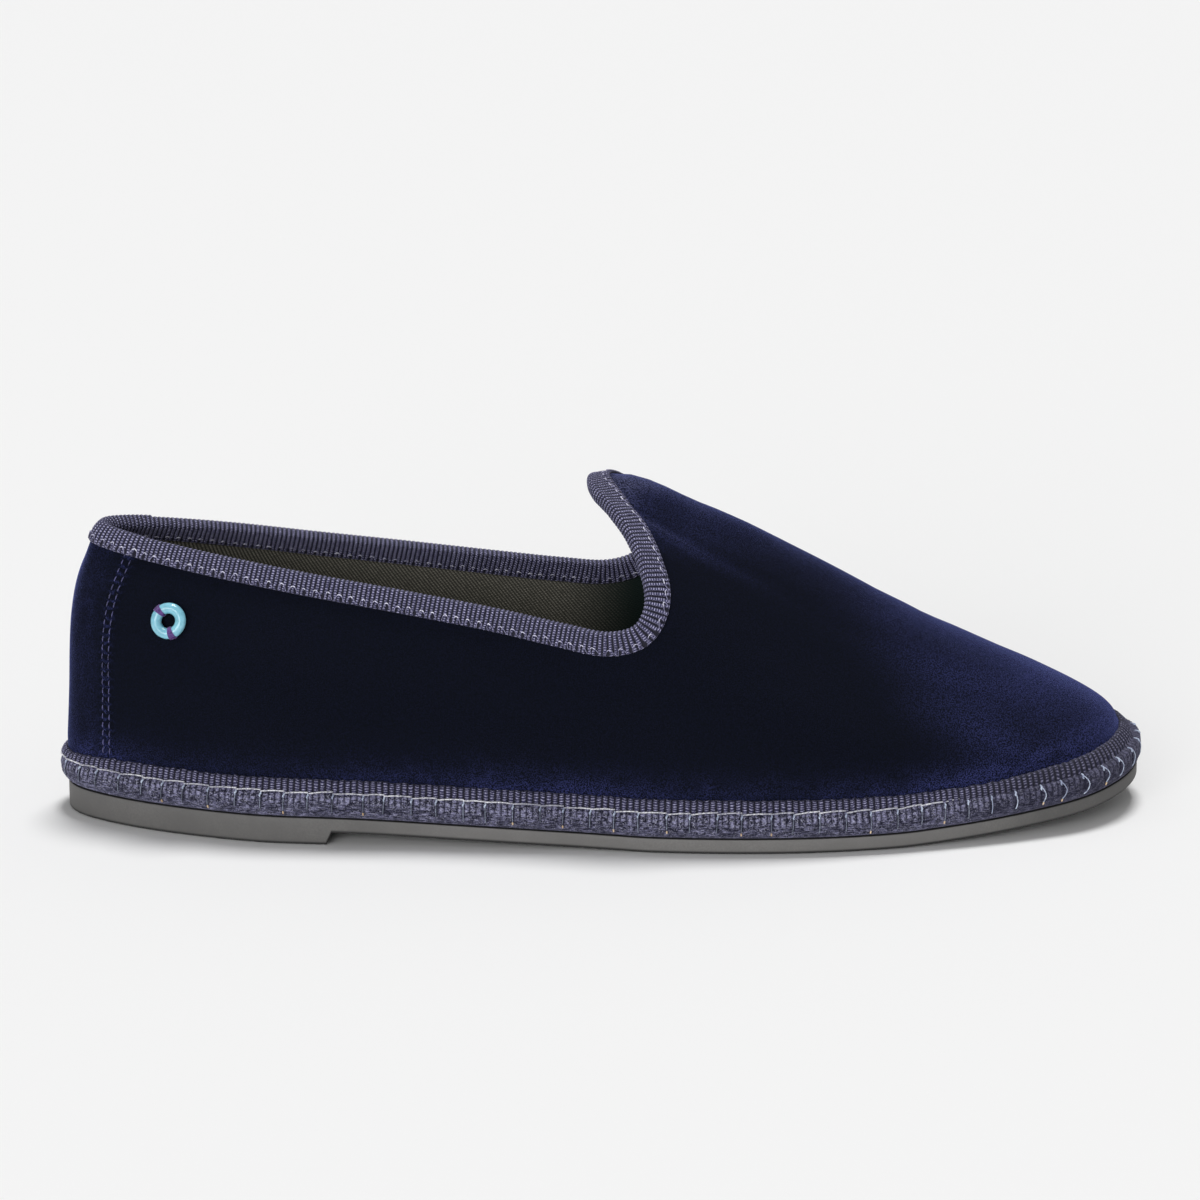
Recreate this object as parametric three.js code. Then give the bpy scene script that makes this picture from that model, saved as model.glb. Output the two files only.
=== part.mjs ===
// A right friulane: a velvet slipper with a ribbon-bound top line, a layered cloth sole whose rolled
// edge is wrapped in ribbon, and a thin rubber outsole with a low heel. Millimetres, the toe towards
// +X, the inner side of the foot towards +Y, the floor at zero, under the middle of the shoe.
import * as THREE from "three";

// Driving sizes
const soleLength = 258.1;
const ballWidth = 85;
const toeSwing = 8;
const toeSpring = 6.2;
const heelLift = 3.1;
const heelLength = 63.5;
const breastSlant = 1.3;
const outsoleThickness = 3.6;
const outsoleBevel = 1;
const outsoleBevelRise = 0.6;
const midsoleThickness = 6.2;
const midsoleRoll = 1.7;
const insoleThickness = 2.4;
const seat = 0.3;
const featherSeat = 0.5;
const collarSeat = 0.46;
const insoleRoom = 0.9;

// Heights of the top line above the cloth sole: at the back, at its lowest and at the tongue's tip
const heelHeight = 55.9;
const quarterHeight = 37.5;
const instepHeight = 66.8;

// The upper's cloth, its fullness and its ribbons
const wallThickness = 1.8;
const featherInset = 0.8;
const toeLean = 4.5;
const crownRise = 4.9;
const crownFade = 3.5;
const lipRise = 1.9;
const lipFade = 2;
const lipReach = 0.195;
const lapThickness = 0.45;
const lapRamp = 0.5;
const lapLine = 2;
const collarRibbonWidth = 4.7;
const collarRibbonThickness = 0.65;
const foldFullness = 1.15;
const hemRibbonHeight = 2.4;
const hemRibbonThickness = 1.3;

// The glass ring on the outer side of the heel
const beadRing = 3;
const beadTube = 1.3;
const beadLine = 0.1324;
const beadUp = 0.42;

// How finely the surfaces are cut
const quarterColumns = 20;
const throatColumns = 22;
const soleStations = 40;
const beadSides = 10;
const beadSteps = 20;
const walkSteps = 4;
const foldTurns = [0.22, 0.5, 0.78];
const foldLining = [0.75, 0.25];
const wallRows = [0, 1, 1.25, 1.5, 1.75, 2, 2.3, 2.55, 2.74, 2.86, 2.94, 2.975, 3];
const tiny = 1e-4;

// The sole seen from above: half widths as shares of the ball width, before the ends are rounded,
// and the share of the toe's swing that the middle line has reached
const planTable = [
  { at: 0.0, outer: 0.494, inner: 0.494, swing: 0 },
  { at: 0.037, outer: 0.459, inner: 0.459, swing: 0 },
  { at: 0.096, outer: 0.465, inner: 0.465, swing: 0 },
  { at: 0.176, outer: 0.471, inner: 0.468, swing: 0 },
  { at: 0.245, outer: 0.45, inner: 0.436, swing: 0 },
  { at: 0.345, outer: 0.422, inner: 0.395, swing: 0 },
  { at: 0.461, outer: 0.43, inner: 0.394, swing: 0 },
  { at: 0.57, outer: 0.475, inner: 0.455, swing: 0.06 },
  { at: 0.663, outer: 0.515, inner: 0.518, swing: 0.2 },
  { at: 0.751, outer: 0.548, inner: 0.563, swing: 0.43 },
  { at: 0.818, outer: 0.569, inner: 0.586, swing: 0.63 },
  { at: 0.896, outer: 0.61, inner: 0.615, swing: 0.85 },
  { at: 0.948, outer: 0.675, inner: 0.66, swing: 0.95 },
  { at: 1.0, outer: 0.74, inner: 0.74, swing: 1 },
];

// The sole seen from the side: shares of the heel's lift, the toe's spring and the edge's roll
const sideTable = [
  { at: 0.0, lift: 1, spring: 0, roll: 1 },
  { at: 0.246, lift: 0.95, spring: 0, roll: 1 },
  { at: 0.345, lift: 0.61, spring: 0, roll: 1 },
  { at: 0.425, lift: 0.35, spring: 0, roll: 1 },
  { at: 0.5, lift: 0.1, spring: 0, roll: 1 },
  { at: 0.545, lift: 0, spring: 0, roll: 1 },
  { at: 0.704, lift: 0, spring: 0, roll: 1 },
  { at: 0.767, lift: 0, spring: 0.02, roll: 1 },
  { at: 0.817, lift: 0, spring: 0.12, roll: 1 },
  { at: 0.894, lift: 0, spring: 0.36, roll: 1 },
  { at: 0.942, lift: 0, spring: 0.58, roll: 0.85 },
  { at: 0.98, lift: 0, spring: 0.84, roll: 0.6 },
  { at: 1.0, lift: 0, spring: 1, roll: 0.45 },
];

// Lines up the wall, from the back to the tongue's tip. foot: where the line leaves the sole, as a
// share of its length. along, out and rise: where it meets the top line, as shares of the sole's
// length, of the ball width, and of the rise from the quarter to the heel, or to the tongue's tip
const quarterLines = [
  { foot: 0.0, along: 0.0386, out: 0.0, rise: 1 },
  { foot: 0.012, along: 0.047, out: 0.052, rise: 0.985 },
  { foot: 0.046, along: 0.079, out: 0.113, rise: 0.92 },
  { foot: 0.126, along: 0.1495, out: 0.183, rise: 0.765 },
  { foot: 0.231, along: 0.2296, out: 0.229, rise: 0.585 },
  { foot: 0.326, along: 0.3144, out: 0.268, rise: 0.41 },
  { foot: 0.416, along: 0.4012, out: 0.31, rise: 0.22 },
  { foot: 0.486, along: 0.463, out: 0.356, rise: 0.07 },
  { foot: 0.531, along: 0.502, out: 0.388, rise: 0 },
];
const throatLines = [
  { foot: 0.566, along: 0.529, out: 0.395, rise: 0.069 },
  { foot: 0.606, along: 0.5404, out: 0.372, rise: 0.268 },
  { foot: 0.666, along: 0.5364, out: 0.32, rise: 0.509 },
  { foot: 0.746, along: 0.524, out: 0.242, rise: 0.729 },
  { foot: 0.847, along: 0.506, out: 0.158, rise: 0.893 },
  { foot: 0.938, along: 0.492, out: 0.078, rise: 0.976 },
  { foot: 1.0, along: 0.487, out: 0.0, rise: 1 },
];

// The wall's own form by its place on the sole. cap: height of its shoulder, as a share of the
// quarter's height. lean and crown: shares of the toe's lean and of the crown's rise. low and high:
// how much of the wall under the shoulder and of the line over it is rounded. hem and inset: shares
// of the ribbon's height and of the step from the sole's edge in to the wall's foot
const wallTable = [
  { at: 0.0, cap: 1.1, lean: 0.48, low: 0.35, high: 0.4, crown: 0.15, hem: 0.5, inset: 0.2 },
  { at: 0.05, cap: 1.0, lean: 0.16, low: 0.35, high: 0.4, crown: 0.1, hem: 0.95, inset: 0.8 },
  { at: 0.13, cap: 0.75, lean: 0, low: 0.4, high: 0.4, crown: 0.03, hem: 1, inset: 1 },
  { at: 0.235, cap: 0.6, lean: -0.1, low: 0.4, high: 0.36, crown: 0, hem: 1, inset: 1 },
  { at: 0.42, cap: 0.52, lean: -0.16, low: 0.4, high: 0.36, crown: 0, hem: 1, inset: 1 },
  { at: 0.535, cap: 0.5, lean: -0.12, low: 0.4, high: 0.36, crown: 0, hem: 1, inset: 1 },
  { at: 0.61, cap: 0.48, lean: -0.1, low: 0.42, high: 0.34, crown: 0.05, hem: 1, inset: 1 },
  { at: 0.67, cap: 0.46, lean: -0.08, low: 0.44, high: 0.3, crown: 0.16, hem: 1, inset: 1 },
  { at: 0.75, cap: 0.37, lean: 0, low: 0.46, high: 0.22, crown: 0.36, hem: 0.95, inset: 1 },
  { at: 0.85, cap: 0.29, lean: 0.24, low: 0.48, high: 0.2, crown: 0.66, hem: 0.85, inset: 1.15 },
  { at: 0.94, cap: 0.235, lean: 0.72, low: 0.48, high: 0.17, crown: 0.9, hem: 1.15, inset: 2 },
  { at: 1.0, cap: 0.228, lean: 1.2, low: 0.48, high: 0.15, crown: 1, hem: 1.25, inset: 3.4 },
];

// A column of a table as a smooth curve that never overshoots its rows
function column(rows, name) {
  const steps = rows.slice(1).map((row, i) => row.at - rows[i].at);
  const rates = steps.map((step, i) => (rows[i + 1][name] - rows[i][name]) / step);
  const slopes = rows.map((row, i) => {
    const before = rates[i - 1] ?? rates[0];
    const after = rates[i] ?? rates[i - 1];
    return before * after > 0 ? (2 * before * after) / (before + after) : 0;
  });
  return (place) => {
    const at = Math.min(Math.max(place, 0), 1);
    const i = Math.min(rows.filter((row) => row.at <= at).length - 1, steps.length - 1);
    return hermite((at - rows[i].at) / steps[i], rows[i][name], rows[i + 1][name],
      slopes[i] * steps[i], slopes[i + 1] * steps[i]);
  };
}

function hermite(t, start, end, startSlope, endSlope) {
  const left = (1 + 2 * t) * (1 - t) ** 2 * start + t * (1 - t) ** 2 * startSlope;
  return left + t * t * (3 - 2 * t) * end - t * t * (1 - t) * endSlope;
}

const plan = {
  outer: column(planTable, "outer"),
  inner: column(planTable, "inner"),
  swing: column(planTable, "swing"),
};
const side = {
  lift: column(sideTable, "lift"),
  spring: column(sideTable, "spring"),
  roll: column(sideTable, "roll"),
};
const wall = {
  cap: column(wallTable, "cap"),
  lean: column(wallTable, "lean"),
  low: column(wallTable, "low"),
  high: column(wallTable, "high"),
  crown: column(wallTable, "crown"),
  hem: column(wallTable, "hem"),
  inset: column(wallTable, "inset"),
};

// The outline of the sole at a turn from 0 at the back, by the outer side, to a full turn
const shareAt = (turn) => (1 - Math.cos(turn)) / 2;
const turnAt = (share) => Math.acos(1 - 2 * share);

function planPoint(turn) {
  const share = shareAt(turn);
  const width = Math.sin(turn) > 0 ? plan.outer(share) : plan.inner(share);
  const y = toeSwing * plan.swing(share) - ballWidth * width * Math.sin(turn);
  return new THREE.Vector3(soleLength * share, y, 0);
}

function planOut(turn) {
  const step = planPoint(turn + tiny).sub(planPoint(turn - tiny)).normalize();
  return new THREE.Vector3(step.y, -step.x, 0);
}

const planOffset = (turn, offset) => planPoint(turn).addScaledVector(planOut(turn), offset);

// Heights of the layers of the sole over a place along it
const lowSurface = (x) => heelLift * side.lift(x / soleLength) + toeSpring * side.spring(x / soleLength);
const rubberTop = (x) => lowSurface(x) + outsoleThickness;
const clothBottom = (x) => rubberTop(x) + seat;
const clothTop = (x) => clothBottom(x) + midsoleThickness;
const featherHeight = (x) => clothTop(x) + featherSeat;

// The closed set of lines up the wall: outer side, tongue's tip, inner side and back again
const standHeight = featherHeight(0);
const outerLines = [
  ...quarterLines.map((row) => topPlace(row, heelHeight)),
  ...throatLines.map((row) => topPlace(row, instepHeight)),
];
const innerLines = outerLines.slice(1, -1).reverse().map((line) => ({
  turn: 2 * Math.PI - line.turn,
  top: line.top.clone().multiply(new THREE.Vector3(1, -1, 1)),
}));
const lines = [...outerLines, ...innerLines];

function topPlace(row, summit) {
  const height = quarterHeight + row.rise * (summit - quarterHeight);
  const top = new THREE.Vector3(soleLength * row.along, -ballWidth * row.out, standHeight + height);
  return { turn: turnAt(row.foot), top };
}

// Each line's place on the way round is the mean of its ways along the foot and the top line
const knots = [0];
lines.forEach((line, i) => {
  const next = lines[(i + 1) % lines.length];
  const step = line.top.distanceTo(next.top) + planPoint(line.turn).distanceTo(planPoint(next.turn));
  knots.push(knots[i] + step / 2);
});
const wayRound = knots[lines.length];
const tipPlace = knots[outerLines.length - 1];
const cornerPlace = knots[quarterLines.length - 1];

// A value carried smoothly round the closed set of lines, gaining jump on each full way
function roundCurve(values, jump) {
  const count = values.length;
  const value = (i) => values[((i % count) + count) % count] + jump * Math.floor(i / count);
  const knot = (i) => knots[((i % count) + count) % count] + wayRound * Math.floor(i / count);
  const slope = (i) => (value(i + 1) - value(i - 1)) / (knot(i + 1) - knot(i - 1));
  return (place) => {
    const lap = Math.floor(place / wayRound);
    const at = place - lap * wayRound;
    const i = Math.min(knots.filter((k) => k <= at).length - 1, count - 1);
    const step = knot(i + 1) - knot(i);
    const bent = hermite((at - knot(i)) / step, value(i), value(i + 1), slope(i) * step,
      slope(i + 1) * step);
    return bent + jump * lap;
  };
}

const lineTurn = roundCurve(lines.map((line) => line.turn), 2 * Math.PI);
const lineTop = ["x", "y", "z"].map((axis) => roundCurve(lines.map((line) => line.top[axis]), 0));
const topPoint = (place) => new THREE.Vector3(...lineTop.map((curve) => curve(place)));

// The parts of one line: its foot, its shoulder, its top and the rounding between them
function lineParts(place) {
  const turn = lineTurn(place);
  const share = shareAt(turn);
  const out = planOut(turn);
  const foot = planOffset(turn, -featherInset * wall.inset(share));
  foot.z = featherHeight(foot.x);
  const cap = quarterHeight * wall.cap(share);
  const shoulder = foot.clone().addScaledVector(out, -toeLean * wall.lean(share));
  shoulder.z += cap;
  const top = topPoint(place);
  const low = shoulder.clone().lerp(foot, wall.low(share));
  const high = shoulder.clone().lerp(top, wall.high(share));
  const along = top.clone().sub(shoulder).normalize();
  const bow = out.clone().addScaledVector(along, -out.dot(along)).normalize();
  return { foot, low, shoulder, high, top, bow, crown: wall.crown(share) };
}

// A swelling over a share of the line that is highest, at one, after a power's part of its reach
function swell(below, reach, power) {
  const share = Math.min(below / reach, 1);
  return (share * (1 - share) ** power * (power + 1) ** (power + 1)) / power ** power;
}

// The crown swells below the top line and fades towards the shoulder, with a fuller lip by the tongue
function crownSwell(crown, below) {
  const lip = lipRise * crown ** 3 * swell(below, lipReach, lipFade);
  return crownRise * crown * swell(below, 1, crownFade) + lip;
}

// The wall's cloth before the lap: row 0 to 1 is the side, 1 to 2 the shoulder, 2 to 3 the rest
function clothPoint(place, row) {
  const parts = lineParts(place);
  if (row <= 1) {
    return parts.foot.clone().lerp(parts.low, row);
  }
  const t = row - 1;
  const point = t < 1
    ? parts.low.clone().multiplyScalar((1 - t) ** 2)
      .addScaledVector(parts.shoulder, 2 * t * (1 - t))
      .addScaledVector(parts.high, t * t)
    : parts.high.clone().lerp(parts.top, t - 1);
  const below = Math.min(point.distanceTo(parts.top) / parts.shoulder.distanceTo(parts.top), 1);
  return point.addScaledVector(parts.bow, crownSwell(parts.crown, below));
}

const aroundStep = 0.05;
const upStep = 0.01;

function clothAround(place, row) {
  return clothPoint(place + aroundStep, row).sub(clothPoint(place - aroundStep, row))
    .divideScalar(2 * aroundStep);
}

function clothUp(place, row) {
  const above = Math.min(row + upStep, 3);
  const below = Math.max(row - upStep, 0);
  return clothPoint(place, above).sub(clothPoint(place, below)).divideScalar(above - below);
}

function clothOut(place, row) {
  const out = clothAround(place, row).cross(clothUp(place, row));
  if (row === 0) {
    out.z = 0;
  }
  return out.normalize();
}

// The heel piece laps over the quarters: it is thicker up to the seam on each side
const lapPlace = knots[lapLine];

function lapAt(place) {
  const fromBack = Math.min(place, wayRound - place);
  const share = (lapPlace - fromBack) / lapRamp + 0.5;
  return lapThickness * Math.min(Math.max(share, 0), 1);
}

// A point off the wall's outer face, or inside it when off is negative
function offWall(place, row, off) {
  return clothPoint(place, row).addScaledVector(clothOut(place, row), off);
}

// Places round the wall: even ones, closer at the throat, and both ends of each seam's step
function wallPlaces() {
  const quarter = Array.from({ length: quarterColumns }, (_, i) => (cornerPlace * i) / quarterColumns);
  const throat = Array.from({ length: throatColumns + 1 }, (_, i) => (
    cornerPlace + ((tipPlace - cornerPlace) * i) / throatColumns));
  const kept = [...quarter, ...throat].filter((place) => Math.abs(place - lapPlace) > lapRamp);
  const outer = [...kept, lapPlace - lapRamp / 2, lapPlace + lapRamp / 2].sort((a, b) => a - b);
  const inner = outer.slice(1, -1).reverse().map((place) => wayRound - place);
  return [...outer, ...inner];
}

const places = wallPlaces();

// A closed ring of closed sections, its faces outwards when both run as the wall does
function ringSolid(sections) {
  const size = sections[0].length;
  const points = sections.flat();
  const faces = [];
  sections.forEach((section, i) => {
    const next = (i + 1) % sections.length;
    section.forEach((point, j) => {
      const up = (j + 1) % size;
      faces.push(i * size + j, next * size + j, next * size + up);
      faces.push(i * size + j, next * size + up, i * size + up);
    });
  });
  return meshFrom(points, faces);
}

// A stack of outlines, lowest first, closed below and above by rungs from side to side
function slabSolid(rings) {
  const size = rings[0].length;
  const points = rings.flat();
  const faces = [];
  for (let level = 0; level < rings.length - 1; level += 1) {
    for (let i = 0; i < size; i += 1) {
      const here = level * size + i;
      const next = level * size + ((i + 1) % size);
      faces.push(here, next, next + size);
      faces.push(here, next + size, here + size);
    }
  }
  const top = (rings.length - 1) * size;
  for (let i = 0; i < size / 2; i += 1) {
    const far = (size - i) % size;
    const farNext = size - i - 1;
    if (i > 0) {
      faces.push(far, i + 1, i);
      faces.push(top + far, top + i, top + i + 1);
    }
    if (farNext > i + 1) {
      faces.push(far, farNext, i + 1);
      faces.push(top + far, top + i + 1, top + farNext);
    }
  }
  return meshFrom(points, faces);
}

function meshFrom(points, faces) {
  const geometry = new THREE.BufferGeometry();
  geometry.setAttribute("position", new THREE.Float32BufferAttribute(points.flatMap((p) => p.toArray()), 3));
  geometry.setIndex(faces);
  geometry.computeVertexNormals();
  return geometry;
}

// Turns of the stations along the sole, with both ends of the heel's breast among them
function soleTurns() {
  const breastStart = turnAt(heelLength / soleLength);
  const breastEnd = turnAt((heelLength + breastSlant) / soleLength);
  const even = Array.from({ length: soleStations + 1 }, (_, i) => (Math.PI * i) / soleStations);
  const spacing = Math.PI / soleStations;
  const kept = even.filter((turn) => turn < breastStart - spacing / 3 || turn > breastEnd + spacing / 3);
  const outer = [...kept, breastStart, breastEnd].sort((a, b) => a - b);
  const inner = outer.slice(1, -1).reverse().map((turn) => 2 * Math.PI - turn);
  return [...outer, ...inner];
}

const turns = soleTurns();

// An outline at an offset and a height over the sole's place
function soleRing(offset, heightAt) {
  return turns.map((turn) => {
    const point = planOffset(turn, typeof offset === "function" ? offset(turn) : offset);
    point.z = heightAt(planPoint(turn).x);
    return point;
  });
}

function outsoleGeometry() {
  const breast = heelLength + breastSlant / 2;
  const ground = (x) => (x < breast ? 0 : lowSurface(x));
  const edge = (x) => ground(x) + outsoleBevelRise;
  return slabSolid([
    soleRing(-outsoleBevel, ground),
    soleRing(0, edge),
    soleRing(0, rubberTop),
  ]);
}

// The cloth sole's edge is rolled: how far it stands out at shares of its thickness
const rollProfile = [
  { up: 0, out: -0.3 },
  { up: 0.14, out: 0.45 },
  { up: 0.36, out: 0.95 },
  { up: 0.62, out: 1 },
  { up: 0.86, out: 0.72 },
  { up: 1, out: 0.15 },
];

function midsoleGeometry() {
  const rings = rollProfile.map((row) => {
    const height = (x) => clothBottom(x) + midsoleThickness * row.up;
    return soleRing((turn) => midsoleRoll * row.out * side.roll(shareAt(turn)), height);
  });
  return slabSolid(rings);
}

// The insole fills the upper's foot, clear of its wall, also where the wall leans in
function insoleGeometry() {
  const inset = (height) => (turn) => {
    const share = shareAt(turn);
    const tilt = (toeLean * wall.lean(share)) / (quarterHeight * wall.cap(share));
    const leanIn = Math.max(tilt, 0) * height;
    const wallFoot = featherInset * wall.inset(share) + wallThickness * Math.hypot(1, tilt);
    return -(wallFoot + insoleRoom + leanIn);
  };
  return slabSolid([
    soleRing(inset(0), featherHeight),
    soleRing(inset(insoleThickness + seat), (x) => featherHeight(x) + insoleThickness),
  ]);
}

function upperGeometry() {
  return ringSolid(places.map((place) => [
    ...wallRows.map((row) => offWall(place, row, lapAt(place))),
    ...wallRows.slice().reverse().map((row) => offWall(place, row, -wallThickness)),
  ]));
}

// The ribbon along the foot of the wall, over the feather seam
function hemRibbonGeometry() {
  return ringSolid(places.map((place) => {
    const parts = lineParts(place);
    const height = hemRibbonHeight * wall.hem(shareAt(lineTurn(place)));
    const length = parts.foot.distanceTo(parts.low);
    const inner = lapAt(place) + seat;
    const outer = inner + hemRibbonThickness;
    const shoulder = (height - hemRibbonThickness / 2) / length;
    return [
      offWall(place, 0, outer),
      offWall(place, shoulder, outer),
      offWall(place, height / length, inner + hemRibbonThickness / 2),
      offWall(place, height / length, inner),
      offWall(place, 0, inner),
    ];
  }));
}

// Walks down the wall from the top line, square to it, and gives the place and row reached
function downFromTop(place, distance) {
  const edge = clothAround(place, 3).normalize();
  let at = place;
  let row = 3;
  for (let i = 0; i < walkSteps; i += 1) {
    const around = clothAround(at, row);
    const up = clothUp(at, row);
    const down = edge.clone().cross(around.clone().cross(up)).setLength(distance / walkSteps);
    const mixed = around.dot(up);
    const whole = around.lengthSq() * up.lengthSq() - mixed * mixed;
    at += (down.dot(around) * up.lengthSq() - down.dot(up) * mixed) / whole;
    row += (down.dot(up) * around.lengthSq() - down.dot(around) * mixed) / whole;
  }
  return { at, row };
}

// The ribbon folded over the top line: a leg on each face of the wall and a round fold above
function collarRibbonGeometry() {
  const legShares = [1, 0.5, 0];
  return ringSolid(places.map((place) => {
    const spots = legShares.map((share) => downFromTop(place, collarRibbonWidth * share));
    const leg = (off) => spots.map((spot) => {
      const lap = off > 0 ? lapAt(place) : 0;
      return offWall(spot.at, spot.row, off + lap);
    });
    const out = clothOut(place, 3);
    const above = clothAround(place, 3).cross(out).setLength(-1);
    const middle = offWall(place, 3, (lapAt(place) - wallThickness) / 2);
    const half = (wallThickness + lapAt(place)) / 2 + collarSeat;
    const fold = (reach, rise, angle) => middle.clone()
      .addScaledVector(out, reach * Math.cos(angle))
      .addScaledVector(above, rise * Math.sin(angle));
    const outerReach = half + collarRibbonThickness;
    const outerRise = foldFullness * (collarSeat + collarRibbonThickness);
    return [
      ...leg(collarSeat + collarRibbonThickness),
      ...foldTurns.map((turn) => fold(outerReach, outerRise, Math.PI * turn)),
      ...leg(-wallThickness - collarSeat - collarRibbonThickness).reverse(),
      ...leg(-wallThickness - collarSeat),
      ...foldLining.map((turn) => fold(half, collarSeat, Math.PI * turn)),
      ...leg(collarSeat).reverse(),
    ];
  }));
}

// The ring lies flat on the wall near the heel seam, its axis square to the velvet
function beadMesh(material) {
  const place = tipPlace * beadLine;
  const row = 1 + 2 * beadUp;
  const mesh = new THREE.Mesh(new THREE.TorusGeometry(beadRing, beadTube, beadSides, beadSteps), material);
  mesh.name = "ring_bead";
  mesh.position.copy(offWall(place, row, lapAt(place) + 2 * seat + beadTube));
  mesh.quaternion.setFromUnitVectors(new THREE.Vector3(0, 0, 1), clothOut(place, row));
  return mesh;
}

const velvet = new THREE.MeshStandardMaterial({ color: 0x161b3c, roughness: 0.95, metalness: 0 });
const ribbon = new THREE.MeshStandardMaterial({ color: 0x3c3f66, roughness: 0.8, metalness: 0 });
const rubber = new THREE.MeshStandardMaterial({ color: 0x5f5d5b, roughness: 0.7, metalness: 0 });
const twill = new THREE.MeshStandardMaterial({ color: 0x2c2b24, roughness: 0.9, metalness: 0 });
const glass = new THREE.MeshStandardMaterial({ color: 0x8ecbdc, roughness: 0.15, metalness: 0 });

function piece(name, geometry, material) {
  const mesh = new THREE.Mesh(geometry, material);
  mesh.name = name;
  return mesh;
}

const shoe = new THREE.Group();
shoe.add(piece("outsole", outsoleGeometry(), rubber));
shoe.add(piece("midsole", midsoleGeometry(), ribbon));
shoe.add(piece("insole", insoleGeometry(), twill));
shoe.add(piece("upper", upperGeometry(), velvet));
shoe.add(piece("hem_ribbon", hemRibbonGeometry(), ribbon));
shoe.add(piece("collar_ribbon", collarRibbonGeometry(), ribbon));
shoe.add(beadMesh(glass));

const extent = new THREE.Box3().setFromObject(shoe);
const middle = extent.getCenter(new THREE.Vector3());
shoe.position.set(-middle.x, -middle.y, -extent.min.z);

export default shoe;
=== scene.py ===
# A right friulane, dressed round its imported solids: a navy velvet upper lined with twill, grosgrain
# along its top line and its foot, a rolled textile sole edge sewn over with a blanket stitch,
# a rubber outsole with a low heel, and a glass ring sewn on beside the heel seam.
import math

import bpy
import numpy as np
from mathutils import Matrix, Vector


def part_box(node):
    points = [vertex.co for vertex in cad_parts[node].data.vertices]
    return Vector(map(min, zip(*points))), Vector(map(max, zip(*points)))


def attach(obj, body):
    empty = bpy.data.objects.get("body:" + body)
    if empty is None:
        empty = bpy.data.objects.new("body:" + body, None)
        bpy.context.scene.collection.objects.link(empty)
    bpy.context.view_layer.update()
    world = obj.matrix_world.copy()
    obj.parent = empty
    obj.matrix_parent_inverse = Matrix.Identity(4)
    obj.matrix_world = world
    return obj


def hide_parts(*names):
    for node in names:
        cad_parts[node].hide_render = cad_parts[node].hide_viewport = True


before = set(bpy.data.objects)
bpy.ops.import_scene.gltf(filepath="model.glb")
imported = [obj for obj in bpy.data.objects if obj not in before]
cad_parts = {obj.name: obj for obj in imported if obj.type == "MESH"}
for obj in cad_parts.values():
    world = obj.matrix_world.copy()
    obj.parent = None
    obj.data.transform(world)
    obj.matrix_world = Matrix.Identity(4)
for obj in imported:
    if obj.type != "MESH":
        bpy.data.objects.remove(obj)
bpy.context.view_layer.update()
outsoleLow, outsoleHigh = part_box("outsole")
print("frame loaded")

toMetres = 0.001

# The shoe in millimetres, before it is put in the frame: x from the back of the sole to the toe,
# y across with the inner side of the foot positive, z up from the floor
shoe = {
    "soleLength": (outsoleHigh.x - outsoleLow.x) / toMetres,
    "ballWidth": 85.0,
    "toeSwing": 8.0,
    "toeSpring": 6.2,
    "heelLift": 3.1,
    "heelLength": 63.5,
    "breastSlant": 1.3,
    "outsoleThickness": 3.6,
    "outsoleBevel": 1.0,
    "bevelRise": 0.6,
    "midsoleThickness": 6.2,
    "midsoleRoll": 1.7,
    "seat": 0.3,
    "featherSeat": 0.5,
    "heelHeight": 55.9,
    "quarterHeight": 37.5,
    "instepHeight": 66.8,
    "wallThickness": 1.8,
    "featherInset": 0.8,
    "toeLean": 4.5,
    "crownRise": 4.9,
    "crownFade": 3.5,
    "lipRise": 1.9,
    "lipFade": 2,
    "lipReach": 0.195,
    "lapThickness": 0.45,
    "lapRamp": 0.5,
    "lapLine": 2,
}

# The sole from above: half widths as shares of the ball width, and the share of the toe's swing
planTable = {
    "at": [0, 0.037, 0.096, 0.176, 0.245, 0.345, 0.461, 0.57, 0.663, 0.751, 0.818, 0.896, 0.948, 1],
    "outer": [0.494, 0.459, 0.465, 0.471, 0.45, 0.422, 0.43, 0.475, 0.515, 0.548, 0.569, 0.61, 0.675, 0.74],
    "inner": [0.494, 0.459, 0.465, 0.468, 0.436, 0.395, 0.394, 0.455, 0.518, 0.563, 0.586, 0.615, 0.66, 0.74],
    "swing": [0, 0, 0, 0, 0, 0, 0, 0.06, 0.2, 0.43, 0.63, 0.85, 0.95, 1],
}

# The sole from the side: shares of the heel's lift, the toe's spring and the edge's roll
sideTable = {
    "at": [0, 0.246, 0.345, 0.425, 0.5, 0.545, 0.704, 0.767, 0.817, 0.894, 0.942, 0.98, 1],
    "lift": [1, 0.95, 0.61, 0.35, 0.1, 0, 0, 0, 0, 0, 0, 0, 0],
    "spring": [0, 0, 0, 0, 0, 0, 0, 0.02, 0.12, 0.36, 0.58, 0.84, 1],
    "roll": [1, 1, 1, 1, 1, 1, 1, 1, 1, 1, 0.85, 0.6, 0.45],
}

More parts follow.
